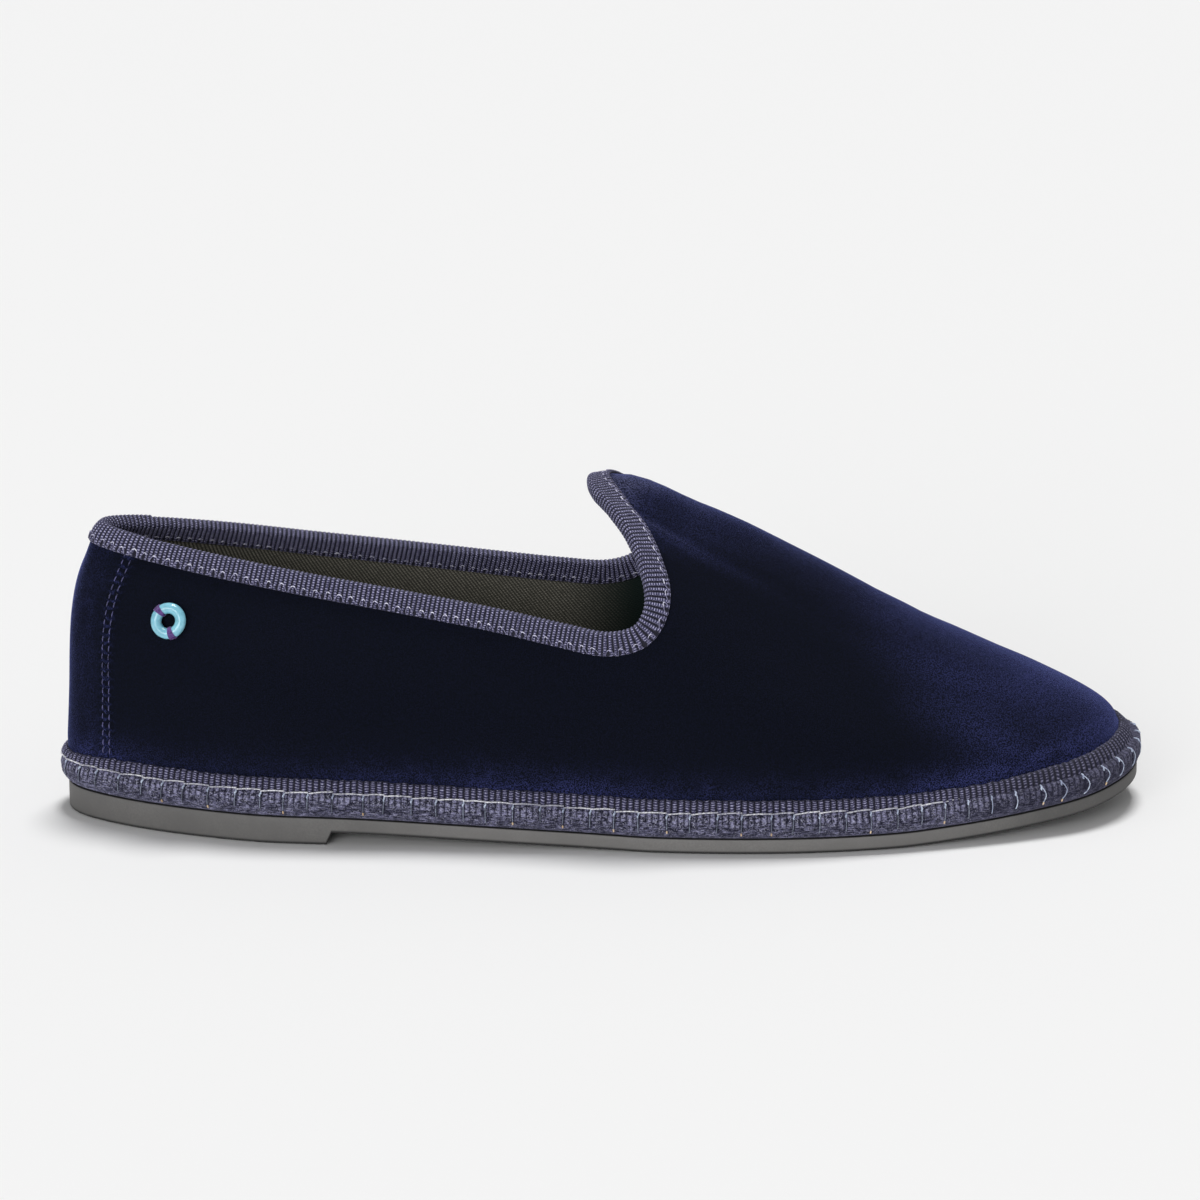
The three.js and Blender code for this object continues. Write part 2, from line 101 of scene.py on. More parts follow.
# Lines up the wall: where each leaves the sole, and where it meets the top line, as shares of the
# sole's length, of the ball width and of the rise from the quarter to the heel or to the tongue's tip
quarterLines = {
    "foot": [0, 0.012, 0.046, 0.126, 0.231, 0.326, 0.416, 0.486, 0.531],
    "along": [0.0386, 0.047, 0.079, 0.1495, 0.2296, 0.3144, 0.4012, 0.463, 0.502],
    "out": [0, 0.052, 0.113, 0.183, 0.229, 0.268, 0.31, 0.356, 0.388],
    "rise": [1, 0.985, 0.92, 0.765, 0.585, 0.41, 0.22, 0.07, 0],
}
throatLines = {
    "foot": [0.566, 0.606, 0.666, 0.746, 0.847, 0.938, 1],
    "along": [0.529, 0.5404, 0.5364, 0.524, 0.506, 0.492, 0.487],
    "out": [0.395, 0.372, 0.32, 0.242, 0.158, 0.078, 0],
    "rise": [0.069, 0.268, 0.509, 0.729, 0.893, 0.976, 1],
}

# The wall's own form by its place on the sole: its shoulder's height, its lean and its crown,
# how much of it is rounded under and over the shoulder, and the height of the ribbon at its foot
wallTable = {
    "at": [0, 0.05, 0.13, 0.235, 0.42, 0.535, 0.61, 0.67, 0.75, 0.85, 0.94, 1],
    "cap": [1.1, 1, 0.75, 0.6, 0.52, 0.5, 0.48, 0.46, 0.37, 0.29, 0.235, 0.228],
    "lean": [0.48, 0.16, 0, -0.1, -0.16, -0.12, -0.1, -0.08, 0, 0.24, 0.72, 1.2],
    "low": [0.35, 0.35, 0.4, 0.4, 0.4, 0.4, 0.42, 0.44, 0.46, 0.48, 0.48, 0.48],
    "high": [0.4, 0.4, 0.4, 0.36, 0.36, 0.36, 0.34, 0.3, 0.22, 0.2, 0.17, 0.15],
    "crown": [0.15, 0.1, 0.03, 0, 0, 0, 0.05, 0.16, 0.36, 0.66, 0.9, 1],
    "hem": [0.5, 0.95, 1, 1, 1, 1, 1, 1, 0.95, 0.85, 1.15, 1.25],
    "inset": [0.2, 0.8, 1, 1, 1, 1, 1, 1, 1, 1.15, 2, 3.4],
}


# A cubic between two values with a slope at each end
def hermite(t, start, end, startSlope, endSlope):
    left = (1 + 2 * t) * (1 - t) ** 2 * start + t * (1 - t) ** 2 * startSlope
    return left + t * t * (3 - 2 * t) * end - t * t * (1 - t) * endSlope


# A table's column at any place: a smooth curve through its rows that never overshoots them
def readColumn(table, name, place):
    at, value = np.array(table["at"], float), np.array(table[name], float)
    step = np.diff(at)
    rate = np.diff(value) / step
    before, after = np.append(rate[:1], rate), np.append(rate, rate[-1:])
    rising = before * after > 0
    slope = np.where(rising, 2 * before * after / np.where(rising, before + after, 1), 0)
    place = np.clip(place, 0, 1)
    i = np.clip(np.searchsorted(at, place, side="right") - 1, 0, len(step) - 1)
    return hermite((place - at[i]) / step[i], value[i], value[i + 1], slope[i] * step[i], slope[i + 1] * step[i])


def unit(vectors):
    return vectors / np.linalg.norm(vectors, axis=-1, keepdims=True)


def smoothStep(t):
    t = np.clip(t, 0, 1)
    return t * t * (3 - 2 * t)


# The sole's outline at a turn from 0 at the back, by the outer side, to a full turn:
# x = length (1 - cos turn) / 2, y = swing - ballWidth width(x) sin turn
def planPoint(turn):
    share = (1 - np.cos(turn)) / 2
    width = np.where(np.sin(turn) > 0, readColumn(planTable, "outer", share), readColumn(planTable, "inner", share))
    y = shoe["toeSwing"] * readColumn(planTable, "swing", share) - shoe["ballWidth"] * width * np.sin(turn)
    return np.stack([shoe["soleLength"] * share, y, np.zeros_like(y)], -1)


def planOut(turn):
    step = unit(planPoint(turn + 1e-4) - planPoint(turn - 1e-4))
    return np.stack([step[..., 1], -step[..., 0], step[..., 2]], -1)


# Heights of the sole's layers over a place along it
def lowSurface(x):
    share = x / shoe["soleLength"]
    lift = shoe["heelLift"] * readColumn(sideTable, "lift", share)
    return lift + shoe["toeSpring"] * readColumn(sideTable, "spring", share)


def rubberTop(x):
    return lowSurface(x) + shoe["outsoleThickness"]


def clothBottom(x):
    return rubberTop(x) + shoe["seat"]


def featherHeight(x):
    return clothBottom(x) + shoe["midsoleThickness"] + shoe["featherSeat"]


# The closed set of lines up the wall: outer side, tongue's tip, inner side and back again
def topPlaces(table, summit):
    rise = shoe["quarterHeight"] + np.array(table["rise"]) * (summit - shoe["quarterHeight"])
    return np.stack([
        shoe["soleLength"] * np.array(table["along"]),
        -shoe["ballWidth"] * np.array(table["out"]),
        featherHeight(np.zeros(1)) + rise,
    ], -1)


outerTops = np.concatenate([topPlaces(quarterLines, shoe["heelHeight"]), topPlaces(throatLines, shoe["instepHeight"])])
outerTurns = np.arccos(1 - 2 * np.array(quarterLines["foot"] + throatLines["foot"]))
lineTops = np.concatenate([outerTops, outerTops[-2:0:-1] * [1, -1, 1]])
lineTurns = np.concatenate([outerTurns, 2 * np.pi - outerTurns[-2:0:-1]])

# Each line's place on the way round is the mean of its ways along the foot and the top line
footPoints = planPoint(lineTurns)
topSteps = np.linalg.norm(np.roll(lineTops, -1, 0) - lineTops, axis=1)
footSteps = np.linalg.norm(np.roll(footPoints, -1, 0) - footPoints, axis=1)
knots = np.concatenate([[0], np.cumsum((topSteps + footSteps) / 2)])
wayRound = knots[-1]
tipPlace = knots[len(outerTurns) - 1]
lapPlace = knots[shoe["lapLine"]]


# Values carried smoothly round the closed set of lines, gaining jump on each full way:
# a cubic between neighbours whose slope is the one from the line before to the line after
def readRound(values, jump, place):
    count = len(values)
    index = np.arange(-1, count + 3)
    value = values[index % count] + jump * (index // count)
    knot = knots[index % count] + wayRound * (index // count)
    slope = (value[2:] - value[:-2]) / (knot[2:] - knot[:-2])
    lap = np.floor(place / wayRound)
    at = place - lap * wayRound
    i = np.clip(np.searchsorted(knots[:count], at, side="right") - 1, 0, count - 1)
    step = knot[i + 2] - knot[i + 1]
    bent = hermite((at - knot[i + 1]) / step, value[i + 1], value[i + 2], slope[i] * step, slope[i + 1] * step)
    return bent + jump * lap


def lineTurn(place):
    return readRound(lineTurns, 2 * np.pi, place)


# A swelling over a share of a line that is highest, at one, after a power's part of its reach
def swell(below, reach, power):
    share = np.minimum(below / reach, 1)
    return share * (1 - share) ** power * (power + 1) ** (power + 1) / power**power


# The velvet's face: up from the foot to a shoulder, a quadratic round it and straight to the top
# line, swelled by the crown. Rows run 0 to 1 up the side, 1 to 2 round the shoulder, 2 to 3 above
def wallPoint(place, row):
    turn = lineTurn(place)
    share = (1 - np.cos(turn)) / 2
    out = planOut(turn)
    foot = planPoint(turn) - shoe["featherInset"] * readColumn(wallTable, "inset", share)[..., None] * out
    foot[..., 2] = featherHeight(foot[..., 0])
    shoulder = foot - shoe["toeLean"] * readColumn(wallTable, "lean", share)[..., None] * out
    shoulder[..., 2] += shoe["quarterHeight"] * readColumn(wallTable, "cap", share)
    top = np.stack([readRound(lineTops[:, axis], 0, place) for axis in range(3)], -1)
    low = shoulder + (foot - shoulder) * readColumn(wallTable, "low", share)[..., None]
    high = shoulder + (top - shoulder) * readColumn(wallTable, "high", share)[..., None]
    line = unit(top - shoulder)
    bow = unit(out - line * np.sum(out * line, -1, keepdims=True))
    t = np.asarray(row, float)[..., None]
    side = foot + (low - foot) * t
    bend = np.clip(t - 1, 0, 1)
    rounded = low * (1 - bend) ** 2 + shoulder * 2 * bend * (1 - bend) + high * bend**2
    above = high + (top - high) * np.clip(t - 2, 0, 1)
    point = np.where(t <= 1, side, np.where(t < 2, rounded, above))
    reach = np.linalg.norm(point - top, axis=-1) / np.linalg.norm(shoulder - top, axis=-1)
    below = np.where(np.asarray(row) <= 1, 1, np.minimum(reach, 1))[..., None]
    crown = readColumn(wallTable, "crown", share)[..., None]
    lip = shoe["lipRise"] * crown**3 * swell(below, shoe["lipReach"], shoe["lipFade"])
    return point + bow * (shoe["crownRise"] * crown * swell(below, 1, shoe["crownFade"]) + lip)


def wallAround(place, row):
    return (wallPoint(place + 0.05, row) - wallPoint(place - 0.05, row)) / 0.1


def wallUp(place, row):
    above, below = np.minimum(row + 0.01, 3), row - 0.01
    return (wallPoint(place, above) - wallPoint(place, below)) / (above - below)[..., None]


def wallOut(place, row):
    out = np.cross(wallAround(place, row), wallUp(place, row))
    out[..., 2] = np.where(np.asarray(row) <= 0, 0, out[..., 2])
    return unit(out)


def offWall(place, row, off):
    return wallPoint(place, row) + wallOut(place, row) * np.asarray(off)[..., None]


# The heel piece is thicker up to the seam on each side
def lapAt(place):
    fromBack = np.minimum(place % wayRound, wayRound - place % wayRound)
    return shoe["lapThickness"] * smoothStep((lapPlace - fromBack) / shoe["lapRamp"] + 0.5)


# Walks down the wall from the top line, square to it, and gives place and row after each step
def downFromTop(place, distances):
    edge = unit(wallAround(place, np.full_like(place, 3.0)))
    at, row, done = place, np.full_like(place, 3.0), 0.0
    spots = []
    for distance in distances:
        around, up = wallAround(at, row), wallUp(at, row)
        down = unit(np.cross(edge, np.cross(around, up))) * (distance - done)
        mixed = np.sum(around * up, -1)
        wide, tall = np.sum(around * around, -1), np.sum(up * up, -1)
        whole = wide * tall - mixed**2
        alongDown, upDown = np.sum(down * around, -1), np.sum(down * up, -1)
        at = at + (alongDown * tall - upDown * mixed) / whole
        row = row + (upDown * wide - alongDown * mixed) / whole
        done = distance
        spots.append((at, row))
    return np.stack([spot[0] for spot in spots], 1), np.stack([spot[1] for spot in spots], 1)


# Places spread evenly along the wall at one row, and the whole way there
def evenPlaces(count, row):
    fine = np.linspace(0, wayRound, 6001)
    points = wallPoint(fine, np.full_like(fine, row))
    way = np.concatenate([[0], np.cumsum(np.linalg.norm(np.diff(points, axis=0), axis=1))])
    return np.interp(np.arange(count) / count * way[-1], way, fine), way[-1]


# Smooth noise from -1 to 1: random heights on a lattice, joined by cubic steps, closed along u
def softNoise(u, v, cells, seed):
    lattice = np.random.default_rng(seed).uniform(-1, 1, cells)
    i, j = np.floor(u).astype(int), np.floor(v).astype(int)
    s, t = smoothStep(u - i), smoothStep(v - j)
    a, b = lattice[i % cells[0], j % cells[1]], lattice[(i + 1) % cells[0], j % cells[1]]
    c, d = lattice[i % cells[0], (j + 1) % cells[1]], lattice[(i + 1) % cells[0], (j + 1) % cells[1]]
    return (a * (1 - s) + b * s) * (1 - t) + (c * (1 - s) + d * s) * t


# The frame's origin seen from the shoe's own: the outsole's box and its outline give the same edges
outlineY = planPoint(np.linspace(0, 2 * np.pi, 2000))[:, 1]
toFrame = np.array([outsoleLow.x / toMetres, outsoleLow.y / toMetres - outlineY.min(), 0])


# A mesh object from points in the shoe's millimetres, with faces of three or four corners,
# corner uv in millimetres, and one number for each point under each attribute's name
def meshPiece(name, points, faces, uv=None, attributes=None):
    mesh = bpy.data.meshes.new(name)
    points = (points.reshape(-1, 3) + toFrame) * toMetres
    sizes = np.concatenate([np.full(len(part), part.shape[1]) for part in faces])
    corners = np.concatenate([part.ravel() for part in faces])
    mesh.vertices.add(len(points))
    mesh.vertices.foreach_set("co", points.ravel())
    mesh.loops.add(len(corners))
    mesh.loops.foreach_set("vertex_index", corners)
    mesh.polygons.add(len(sizes))
    mesh.polygons.foreach_set("loop_start", np.concatenate([[0], np.cumsum(sizes)[:-1]]))
    mesh.polygons.foreach_set("use_smooth", np.ones(len(sizes), bool))
    if uv is not None:
        mesh.uv_layers.new(name="weave").data.foreach_set("uv", np.concatenate(uv).ravel())
    for key, values in (attributes or {}).items():
        mesh.attributes.new(key, "FLOAT", "POINT").data.foreach_set("value", np.ravel(values))
    mesh.update(calc_edges=True)
    mesh.validate()
    piece = bpy.data.objects.new(name, mesh)
    bpy.context.scene.collection.objects.link(piece)
    return piece


# A grid of points closed along its first axis, the way round, and closed or open along its second
def ringPiece(name, points, uv, attributes=None):
    around, across = points.shape[:2]
    i, j = np.meshgrid(np.arange(around), np.arange(across), indexing="ij")
    iNext, jNext = (i + 1) % around, (j + 1) % across
    quads = np.stack([i * across + j, iNext * across + j, iNext * across + jNext, i * across + jNext], -1)
    corners = np.stack([uv[i, j], uv[i + 1, j], uv[i + 1, j + 1], uv[i, j + 1]], 2)
    return meshPiece(name, points, [quads.reshape(-1, 4)], [corners.reshape(-1, 2)], attributes)


# A stack of outlines, lowest first, closed below and above by rungs from side to side
def slabPiece(name, points, uv, attributes=None):
    levels, size = points.shape[:2]
    i, j = np.meshgrid(np.arange(levels - 1), np.arange(size), indexing="ij")
    jNext = (j + 1) % size
    sides = np.stack([i * size + j, i * size + jNext, (i + 1) * size + jNext, (i + 1) * size + j], -1)
    sideUv = np.stack([uv[i, j], uv[i, j + 1], uv[i + 1, j + 1], uv[i + 1, j]], 2)
    k = np.arange(1, size // 2 - 1)
    rungs = np.stack([k, size - k, size - k - 1, k + 1], -1)
    ends = np.array([[0, size - 1, 1], [size // 2, size // 2 - 1, size // 2 + 1]])
    top = (levels - 1) * size
    quads = [sides.reshape(-1, 4), rungs, rungs[:, ::-1] + top]
    triangles = [ends, ends[:, ::-1] + top]
    flat = points.reshape(-1, 3)[:, :2]
    uvParts = [sideUv.reshape(-1, 2)] + [flat[part].reshape(-1, 2) for part in quads[1:] + triangles]
    return meshPiece(name, points, quads + triangles, uvParts, attributes)


# Threads: round tubes along many paths at once, each point pushed out by a circle of its radius
# in the plane of the path's given outward side and the side square to it, with a point at each end
def threadPiece(name, paths, outs, radii, sides=6):
    count, steps = paths.shape[:2]
    along = unit(np.gradient(paths, axis=1))
    across = unit(np.cross(along, outs))
    outs = np.cross(across, along)
    angle = np.linspace(0, 2 * np.pi, sides, endpoint=False)
    circle = outs[:, :, None] * np.cos(angle)[:, None] + across[:, :, None] * np.sin(angle)[:, None]
    rings = paths[:, :, None] + circle * radii[:, :, None, None]
    caps = np.stack([paths[:, 0] - along[:, 0] * radii[:, :1], paths[:, -1] + along[:, -1] * radii[:, -1:]], 1)
    points = np.concatenate([rings.reshape(count, -1, 3), caps], 1)
    i, j = np.meshgrid(np.arange(steps - 1), np.arange(sides), indexing="ij")
    jNext = (j + 1) % sides
    tube = np.stack([i * sides + j, i * sides + jNext, (i + 1) * sides + jNext, (i + 1) * sides + j], -1)
    k = np.arange(sides)
    kNext = (k + 1) % sides
    last = (steps - 1) * sides
    startCap = np.stack([np.full(sides, steps * sides), kNext, k], -1)
    endCap = np.stack([np.full(sides, steps * sides + 1), last + k, last + kNext], -1)
    shift = (np.arange(count) * points.shape[1])[:, None, None]
    quads = (tube.reshape(1, -1, 4) + shift).reshape(-1, 4)
    fans = (np.concatenate([startCap, endCap])[None] + shift).reshape(-1, 3)
    return meshPiece(name, points, [quads, fans])


# A node of the given kind: inputs hold numbers, colours or the outputs of other nodes
def addNode(tree, kind, inputs, **settings):
    made = tree.nodes.new("ShaderNode" + kind)
    for key, value in settings.items():
        setattr(made, key, value)
    for key, value in inputs.items():
        if isinstance(value, bpy.types.NodeSocket):
            tree.links.new(value, made.inputs[key])
        else:
            made.inputs[key].default_value = value
    return made


def calculate(tree, operation, *values, clamp=False):
    inputs = dict(enumerate(values))
    return addNode(tree, "Math", inputs, operation=operation, use_clamp=clamp).outputs[0]


def mixColour(tree, share, first, second):
    first, second = [value if isinstance(value, bpy.types.NodeSocket) else (*value, 1) for value in (first, second)]
    return addNode(tree, "Mix", {0: share, 6: first, 7: second}, data_type="RGBA").outputs[2]


def noiseShare(tree, vector, scale, detail=2.0, roughness=0.5):
    inputs = {"Vector": vector, "Scale": scale, "Detail": detail, "Roughness": roughness}
    return addNode(tree, "TexNoise", inputs).outputs[0]


# The share of the way from low to high that a value has gone
def between(tree, value, low, high):
    return addNode(tree, "MapRange", {0: value, 1: low, 2: high}).outputs[0]


def attribute(tree, name):
    return addNode(tree, "Attribute", {}, attribute_name=name).outputs["Fac"]


def finishBump(tree, shader, height, distance, strength):
    bump = addNode(tree, "Bump", {"Height": height, "Distance": distance * toMetres, "Strength": strength})
    tree.links.new(bump.outputs[0], shader.inputs["Normal"])


def newMaterial(name, values):
    material = bpy.data.materials.new(name)
    material.use_nodes = True
    shader = material.node_tree.nodes["Principled BSDF"]
    for key, value in values.items():
        shader.inputs[key].default_value = value
    coordinates = material.node_tree.nodes.new("ShaderNodeTexCoord")
    return material, material.node_tree, shader, coordinates


def dress(piece, material, replaced=None):
    piece.data.materials.append(material)
    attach(piece, "root")
    if replaced:
        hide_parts(replaced)


# The camera stands at the photo's angle, level with it in roll
camera = {"lens": 150.7, "distance": 1200.0, "pitch": 15.5, "target": (128.0, 0.0, 50.8)}
cameraData = bpy.data.cameras.new("camera")
cameraData.lens = camera["lens"]
cameraData.sensor_width = 36.0
cameraObject = bpy.data.objects.new("camera", cameraData)
bpy.context.scene.collection.objects.link(cameraObject)
pitch = math.radians(camera["pitch"])
sight = Vector((0, math.cos(pitch), -math.sin(pitch)))
target = Vector((np.array(camera["target"]) + toFrame) * toMetres)
cameraObject.location = target - sight * camera["distance"] * toMetres
cameraObject.rotation_euler = sight.to_track_quat("-Z", "Y").to_euler()
bpy.context.scene.camera = cameraObject
print("camera set")


# Velvet: nearly black where it faces the eye, blue where the pile is seen from the side; its brushed colour is partly
# brushed pile and partly painted sheen
velvet = {
    "columns": 1000,
    "rows": 72,
    "backing": 1.0,
    "deep": (0.0042, 0.0052, 0.009),
    "brushedAndSheen": (0.036, 0.043, 0.145),
    # Painted highlight on the vamp's upward face
    "crestSheen": (0.1, 0.105, 0.21),
    "sheen": 1.0,
    "sheenTint": (0.2, 0.24, 0.66, 1),
    "sheenRoughness": 0.22,
    "pileGrain": 0.3,
    "grainContrast": (0.44, 0.58),
    "seamLines": (0.75, 2.6),
    "seamDepth": 0.24,
    "seamWidth": 0.32,
    # How much painted highlight the puckers of the heel seam get
    "puckerHighlight": 0.6,
    "puckerWidth": 1.4,
    "restGlow": 0.05,
    "glowHeight": 4.2,
    "glow": 0.9,
    "heelGlow": 0.3,
    "ridgeGlow": 0.85,
    "toeFrom": 202.0,
    "toeSlant": 0.8,
    "toeReach": 30.0,
    "tuckDepth": 0.3,
    "tuckHeight": 2.6,
    "ripple": 0.2,
}


# Rows up the wall, spread by the wall's own length at the middle of the outer side
def evenRows(count):
    fine = np.linspace(0, 3, 601)
    points = wallPoint(np.full_like(fine, tipPlace * 0.4), fine)
    way = np.concatenate([[0], np.cumsum(np.linalg.norm(np.diff(points, axis=0), axis=1))])
    return np.interp(np.linspace(0, way[-1], count), way, fine)


def wayUp(points):
    steps = np.linalg.norm(np.diff(points, axis=1), axis=-1)
    return np.concatenate([np.zeros((len(points), 1)), np.cumsum(steps, axis=1)], 1)


# Distance from the seam's edge towards the back of the heel, on either side
def seamDistance(place):
    fromBack = np.minimum(place % wayRound, wayRound - place % wayRound)
    return lapPlace - fromBack


def hemHeight(place):
    share = (1 - np.cos(lineTurn(place))) / 2
    return hemRibbon["height"] * readColumn(wallTable, "hem", share)


# The ribbon over the feather seam, at the foot of the wall
hemRibbon = {
    "height": 2.4,
    "skirt": 0.55,
    "thickness": 1.25,
    "edgeThickness": 0.45,
    "ribPitch": 1.48,
    "ribColumns": 8,
    "ribDepth": 0.3,
    "fray": 0.2,
    "shade": 0.88,
    "toeShade": 0.36,
    "rows": 15,
}


def makeVelvet():
    place, way = evenPlaces(velvet["columns"], 1.5)
    grid, row = np.meshgrid(place, evenRows(velvet["rows"]), indexing="ij")
    base = wallPoint(grid, row)
    up = wayUp(base)
    fromSeam = seamDistance(grid)
    seam = sum(np.exp(-((fromSeam - line) / velvet["seamWidth"]) ** 2) for line in velvet["seamLines"])
    tuck = smoothStep((up - hemHeight(grid)) / velvet["tuckHeight"])
    along = grid / wayRound
    waves = softNoise(along * 34, up / 14, (34, 9), 3) + 0.5 * softNoise(along * 70, up / 7, (70, 17), 5)
    calm = smoothStep(up / 10) * smoothStep((up[:, -1:] - up) / 10)
    off = lapAt(grid) - velvet["seamDepth"] * seam + velvet["ripple"] * waves * calm
    off = off - velvet["tuckDepth"] * (1 - tuck)
    outer = base + wallOut(grid, row) * off[..., None]
    innerPlace, innerRow = np.meshgrid(place, np.linspace(3, 0, 7), indexing="ij")
    inner = offWall(innerPlace, innerRow, np.full_like(innerRow, -velvet["backing"]))
    points = np.concatenate([outer, inner], 1)
    u = np.append(np.arange(len(place)), len(place))[:, None] / len(place) * way
    v = np.concatenate([up, up[:, -1:] + np.arange(1, 9)], 1)
    v = np.concatenate([v, v[:1]], 0)
    uv = np.stack([np.broadcast_to(u, v.shape), v], -1)
    # Painted sheen in the brushed attribute: a lighter band above the hem ribbon, stronger towards the toe, a lighter
    # toe, more so where it faces up, and a lighter heel piece behind the seams, all broken by mottled brushed pile
    height = (up - hemHeight(grid)) / velvet["glowHeight"]
    mottle = 0.5 + 0.5 * softNoise(along * 220, up / 2.2, (220, 30), 8)
    broad = 0.5 + 0.5 * softNoise(along * 26, up / 40, (26, 4), 9)
    glow = velvet["glow"] * np.exp(-np.maximum(height, 0) ** 1.5) * (0.35 + 0.65 * mottle) * (0.4 + 0.9 * broad)
    slanted = outer[..., 0] - velvet["toeFrom"] + velvet["toeSlant"] * (outer[..., 2] - 20)
    toe = smoothStep(slanted / velvet["toeReach"])
    patches = 0.5 + 0.5 * softNoise(along * 44, up / 13, (44, 12), 11)
    ridge = smoothStep((wallOut(grid, row)[..., 2] - 0.25) / 0.6)
    toe = toe * (0.03 + 0.72 * patches**1.8 + 0.3 * ridge)
    # Painted highlight: where the vamp faces up behind the throat, the crest attribute mixes in the silver colour and
    # adds to the brushed one
    onVamp = smoothStep((outer[..., 0] - 118) / 12) * smoothStep((185 - outer[..., 0]) / 50)
    crest = onVamp * smoothStep((wallOut(grid, row)[..., 2] - 0.72) / 0.22)
    band = np.exp(-((fromSeam - np.mean(velvet["seamLines"])) / velvet["puckerWidth"]) ** 2)
    heel = velvet["heelGlow"] * smoothStep((fromSeam - 2) / 5) * (0.3 + 0.7 * mottle)
    toeStart = smoothStep((outer[..., 0] - 190) / 30)
    glow = glow * (1 + 0.9 * toeStart)
    brushedAndSheen = np.clip(velvet["restGlow"] + glow + toe + velvet["ridgeGlow"] * crest + heel, 0, 1)
    hidden = np.zeros(inner.shape[:2])
    shades = {"brushedAndSheen": brushedAndSheen, "seam": band, "crest": crest**3}
    attributes = {key: np.concatenate([value, hidden], 1) for key, value in shades.items()}
    return ringPiece("velvet_upper", points, uv, attributes)


def velvetMaterial():
    material, tree, shader, coordinates = newMaterial("navy velvet", {
        "Roughness": 1.0,
        "Specular IOR Level": 0.04,
        "Sheen Weight": velvet["sheen"],
        "Sheen Roughness": velvet["sheenRoughness"],
        "Sheen Tint": velvet["sheenTint"],
    })
    place = coordinates.outputs["Object"]
    grain = noiseShare(tree, place, 1 / (velvet["pileGrain"] * toMetres), 2.0, 0.65)
    parts = addNode(tree, "SeparateXYZ", {0: coordinates.outputs["UV"]})
    sway = calculate(tree, "MULTIPLY", noiseShare(tree, place, 500.0, 2.0), 9.0)
    turn = calculate(tree, "MULTIPLY_ADD", parts.outputs[1], 2 * math.pi / heelSeam["pitch"], sway)
    # Painted highlight: lighter stripes across the band between the heel seams, on the same stripes that bump out as
    # puckers
    pucker = calculate(tree, "MULTIPLY", between(tree, calculate(tree, "SINE", turn), -0.3, 0.9), attribute(tree, "seam"))
    lit = calculate(tree, "MULTIPLY", pucker, velvet["puckerHighlight"])
    # The brushed attribute carries painted sheen as well as brushed pile
    brushedAndSheen = calculate(tree, "ADD", attribute(tree, "brushedAndSheen"), lit, clamp=True)
    speckle = calculate(tree, "MULTIPLY", brushedAndSheen, between(tree, grain, *velvet["grainContrast"]))
    # Painted highlight: the silver colour on the vamp's upward face
    brushedPile = mixColour(tree, attribute(tree, "crest"), velvet["brushedAndSheen"], velvet["crestSheen"])
    colour = mixColour(tree, speckle, velvet["deep"], brushedPile)
    tree.links.new(colour, shader.inputs["Base Color"])
    relief = calculate(tree, "MULTIPLY_ADD", pucker, 0.8, calculate(tree, "MULTIPLY", grain, 0.4))
    finishBump(tree, shader, relief, 0.5, 0.8)
    return material


# The lining: a brown twill whose diagonals fall towards the toe
lining = {
    "columns": 500,
    "rows": 34,
    "pitch": 1.15,
    "slope": 1.45,
    "dark": (0.066, 0.066, 0.054),
    "light": (0.56, 0.525, 0.45),
    # Painted shade: the lining darkens to the next colour under the vamp
    "vampShadeColour": (0.012, 0.022, 0.02),
    "vampFrom": 116.0,
    "vampFade": 22.0,
}


def makeLining():
    place, way = evenPlaces(lining["columns"], 1.5)
    grid, row = np.meshgrid(place, evenRows(lining["rows"])[::-1], indexing="ij")
    inner = offWall(grid, row, np.full_like(row, -shoe["wallThickness"]))
    backRows = np.linspace(0, 3, 8)
    backPlace, backRow = np.meshgrid(place, backRows, indexing="ij")
    back = offWall(backPlace, backRow, np.full_like(backRow, -velvet["backing"] - 0.1))
    points = np.concatenate([back, inner], 1)
    down = wayUp(inner)
    v = np.concatenate([np.arange(-8, 0) + 0 * down[:, :8], down, down[:, -1:] + 1], 1)
    v = np.concatenate([v, v[:1]], 0)
    u = np.append(place, wayRound)[:, None] / wayRound * way
    uv = np.stack([np.broadcast_to(u, v.shape), v], -1)
    # Painted shade, growing towards the toe under the vamp
    vampShade = smoothStep((points[..., 0] - lining["vampFrom"]) / lining["vampFade"])
    return ringPiece("twill_lining", points, uv, {"vampShade": vampShade})


def twillMaterial(name, dark, light, pitch, slope):
    material, tree, shader, coordinates = newMaterial(name, {"Roughness": 0.85, "Specular IOR Level": 0.15})
    place = coordinates.outputs["Object"]
    parts = addNode(tree, "SeparateXYZ", {0: coordinates.outputs["UV"]})
    along, across = parts.outputs[0], parts.outputs[1]
    wobble = calculate(tree, "MULTIPLY", noiseShare(tree, place, 260.0, 2.0), 0.35 * pitch)
    slant = calculate(tree, "MULTIPLY_ADD", along, slope, across)
    phase = calculate(tree, "ADD", slant, wobble)
    wave = calculate(tree, "SINE", calculate(tree, "MULTIPLY", phase, 2 * math.pi / (pitch * slope)))
    rib = between(tree, wave, -0.8, 0.9)
    yarn = calculate(tree, "SINE", calculate(tree, "MULTIPLY", across, 2 * math.pi / (0.42 * pitch)))
    height = calculate(tree, "MULTIPLY", rib, between(tree, yarn, -1.6, 0.8))
    grain = noiseShare(tree, place, 2600.0, 2.0)
    share = calculate(tree, "MULTIPLY", height, between(tree, grain, 0.1, 0.7))
    cloth = mixColour(tree, share, dark, light)
    # Painted shade on the lining under the vamp
    shaded = mixColour(tree, attribute(tree, "vampShade"), cloth, lining["vampShadeColour"])
    tree.links.new(shaded, shader.inputs["Base Color"])
    finishBump(tree, shader, height, 0.2, 0.8)
    return material


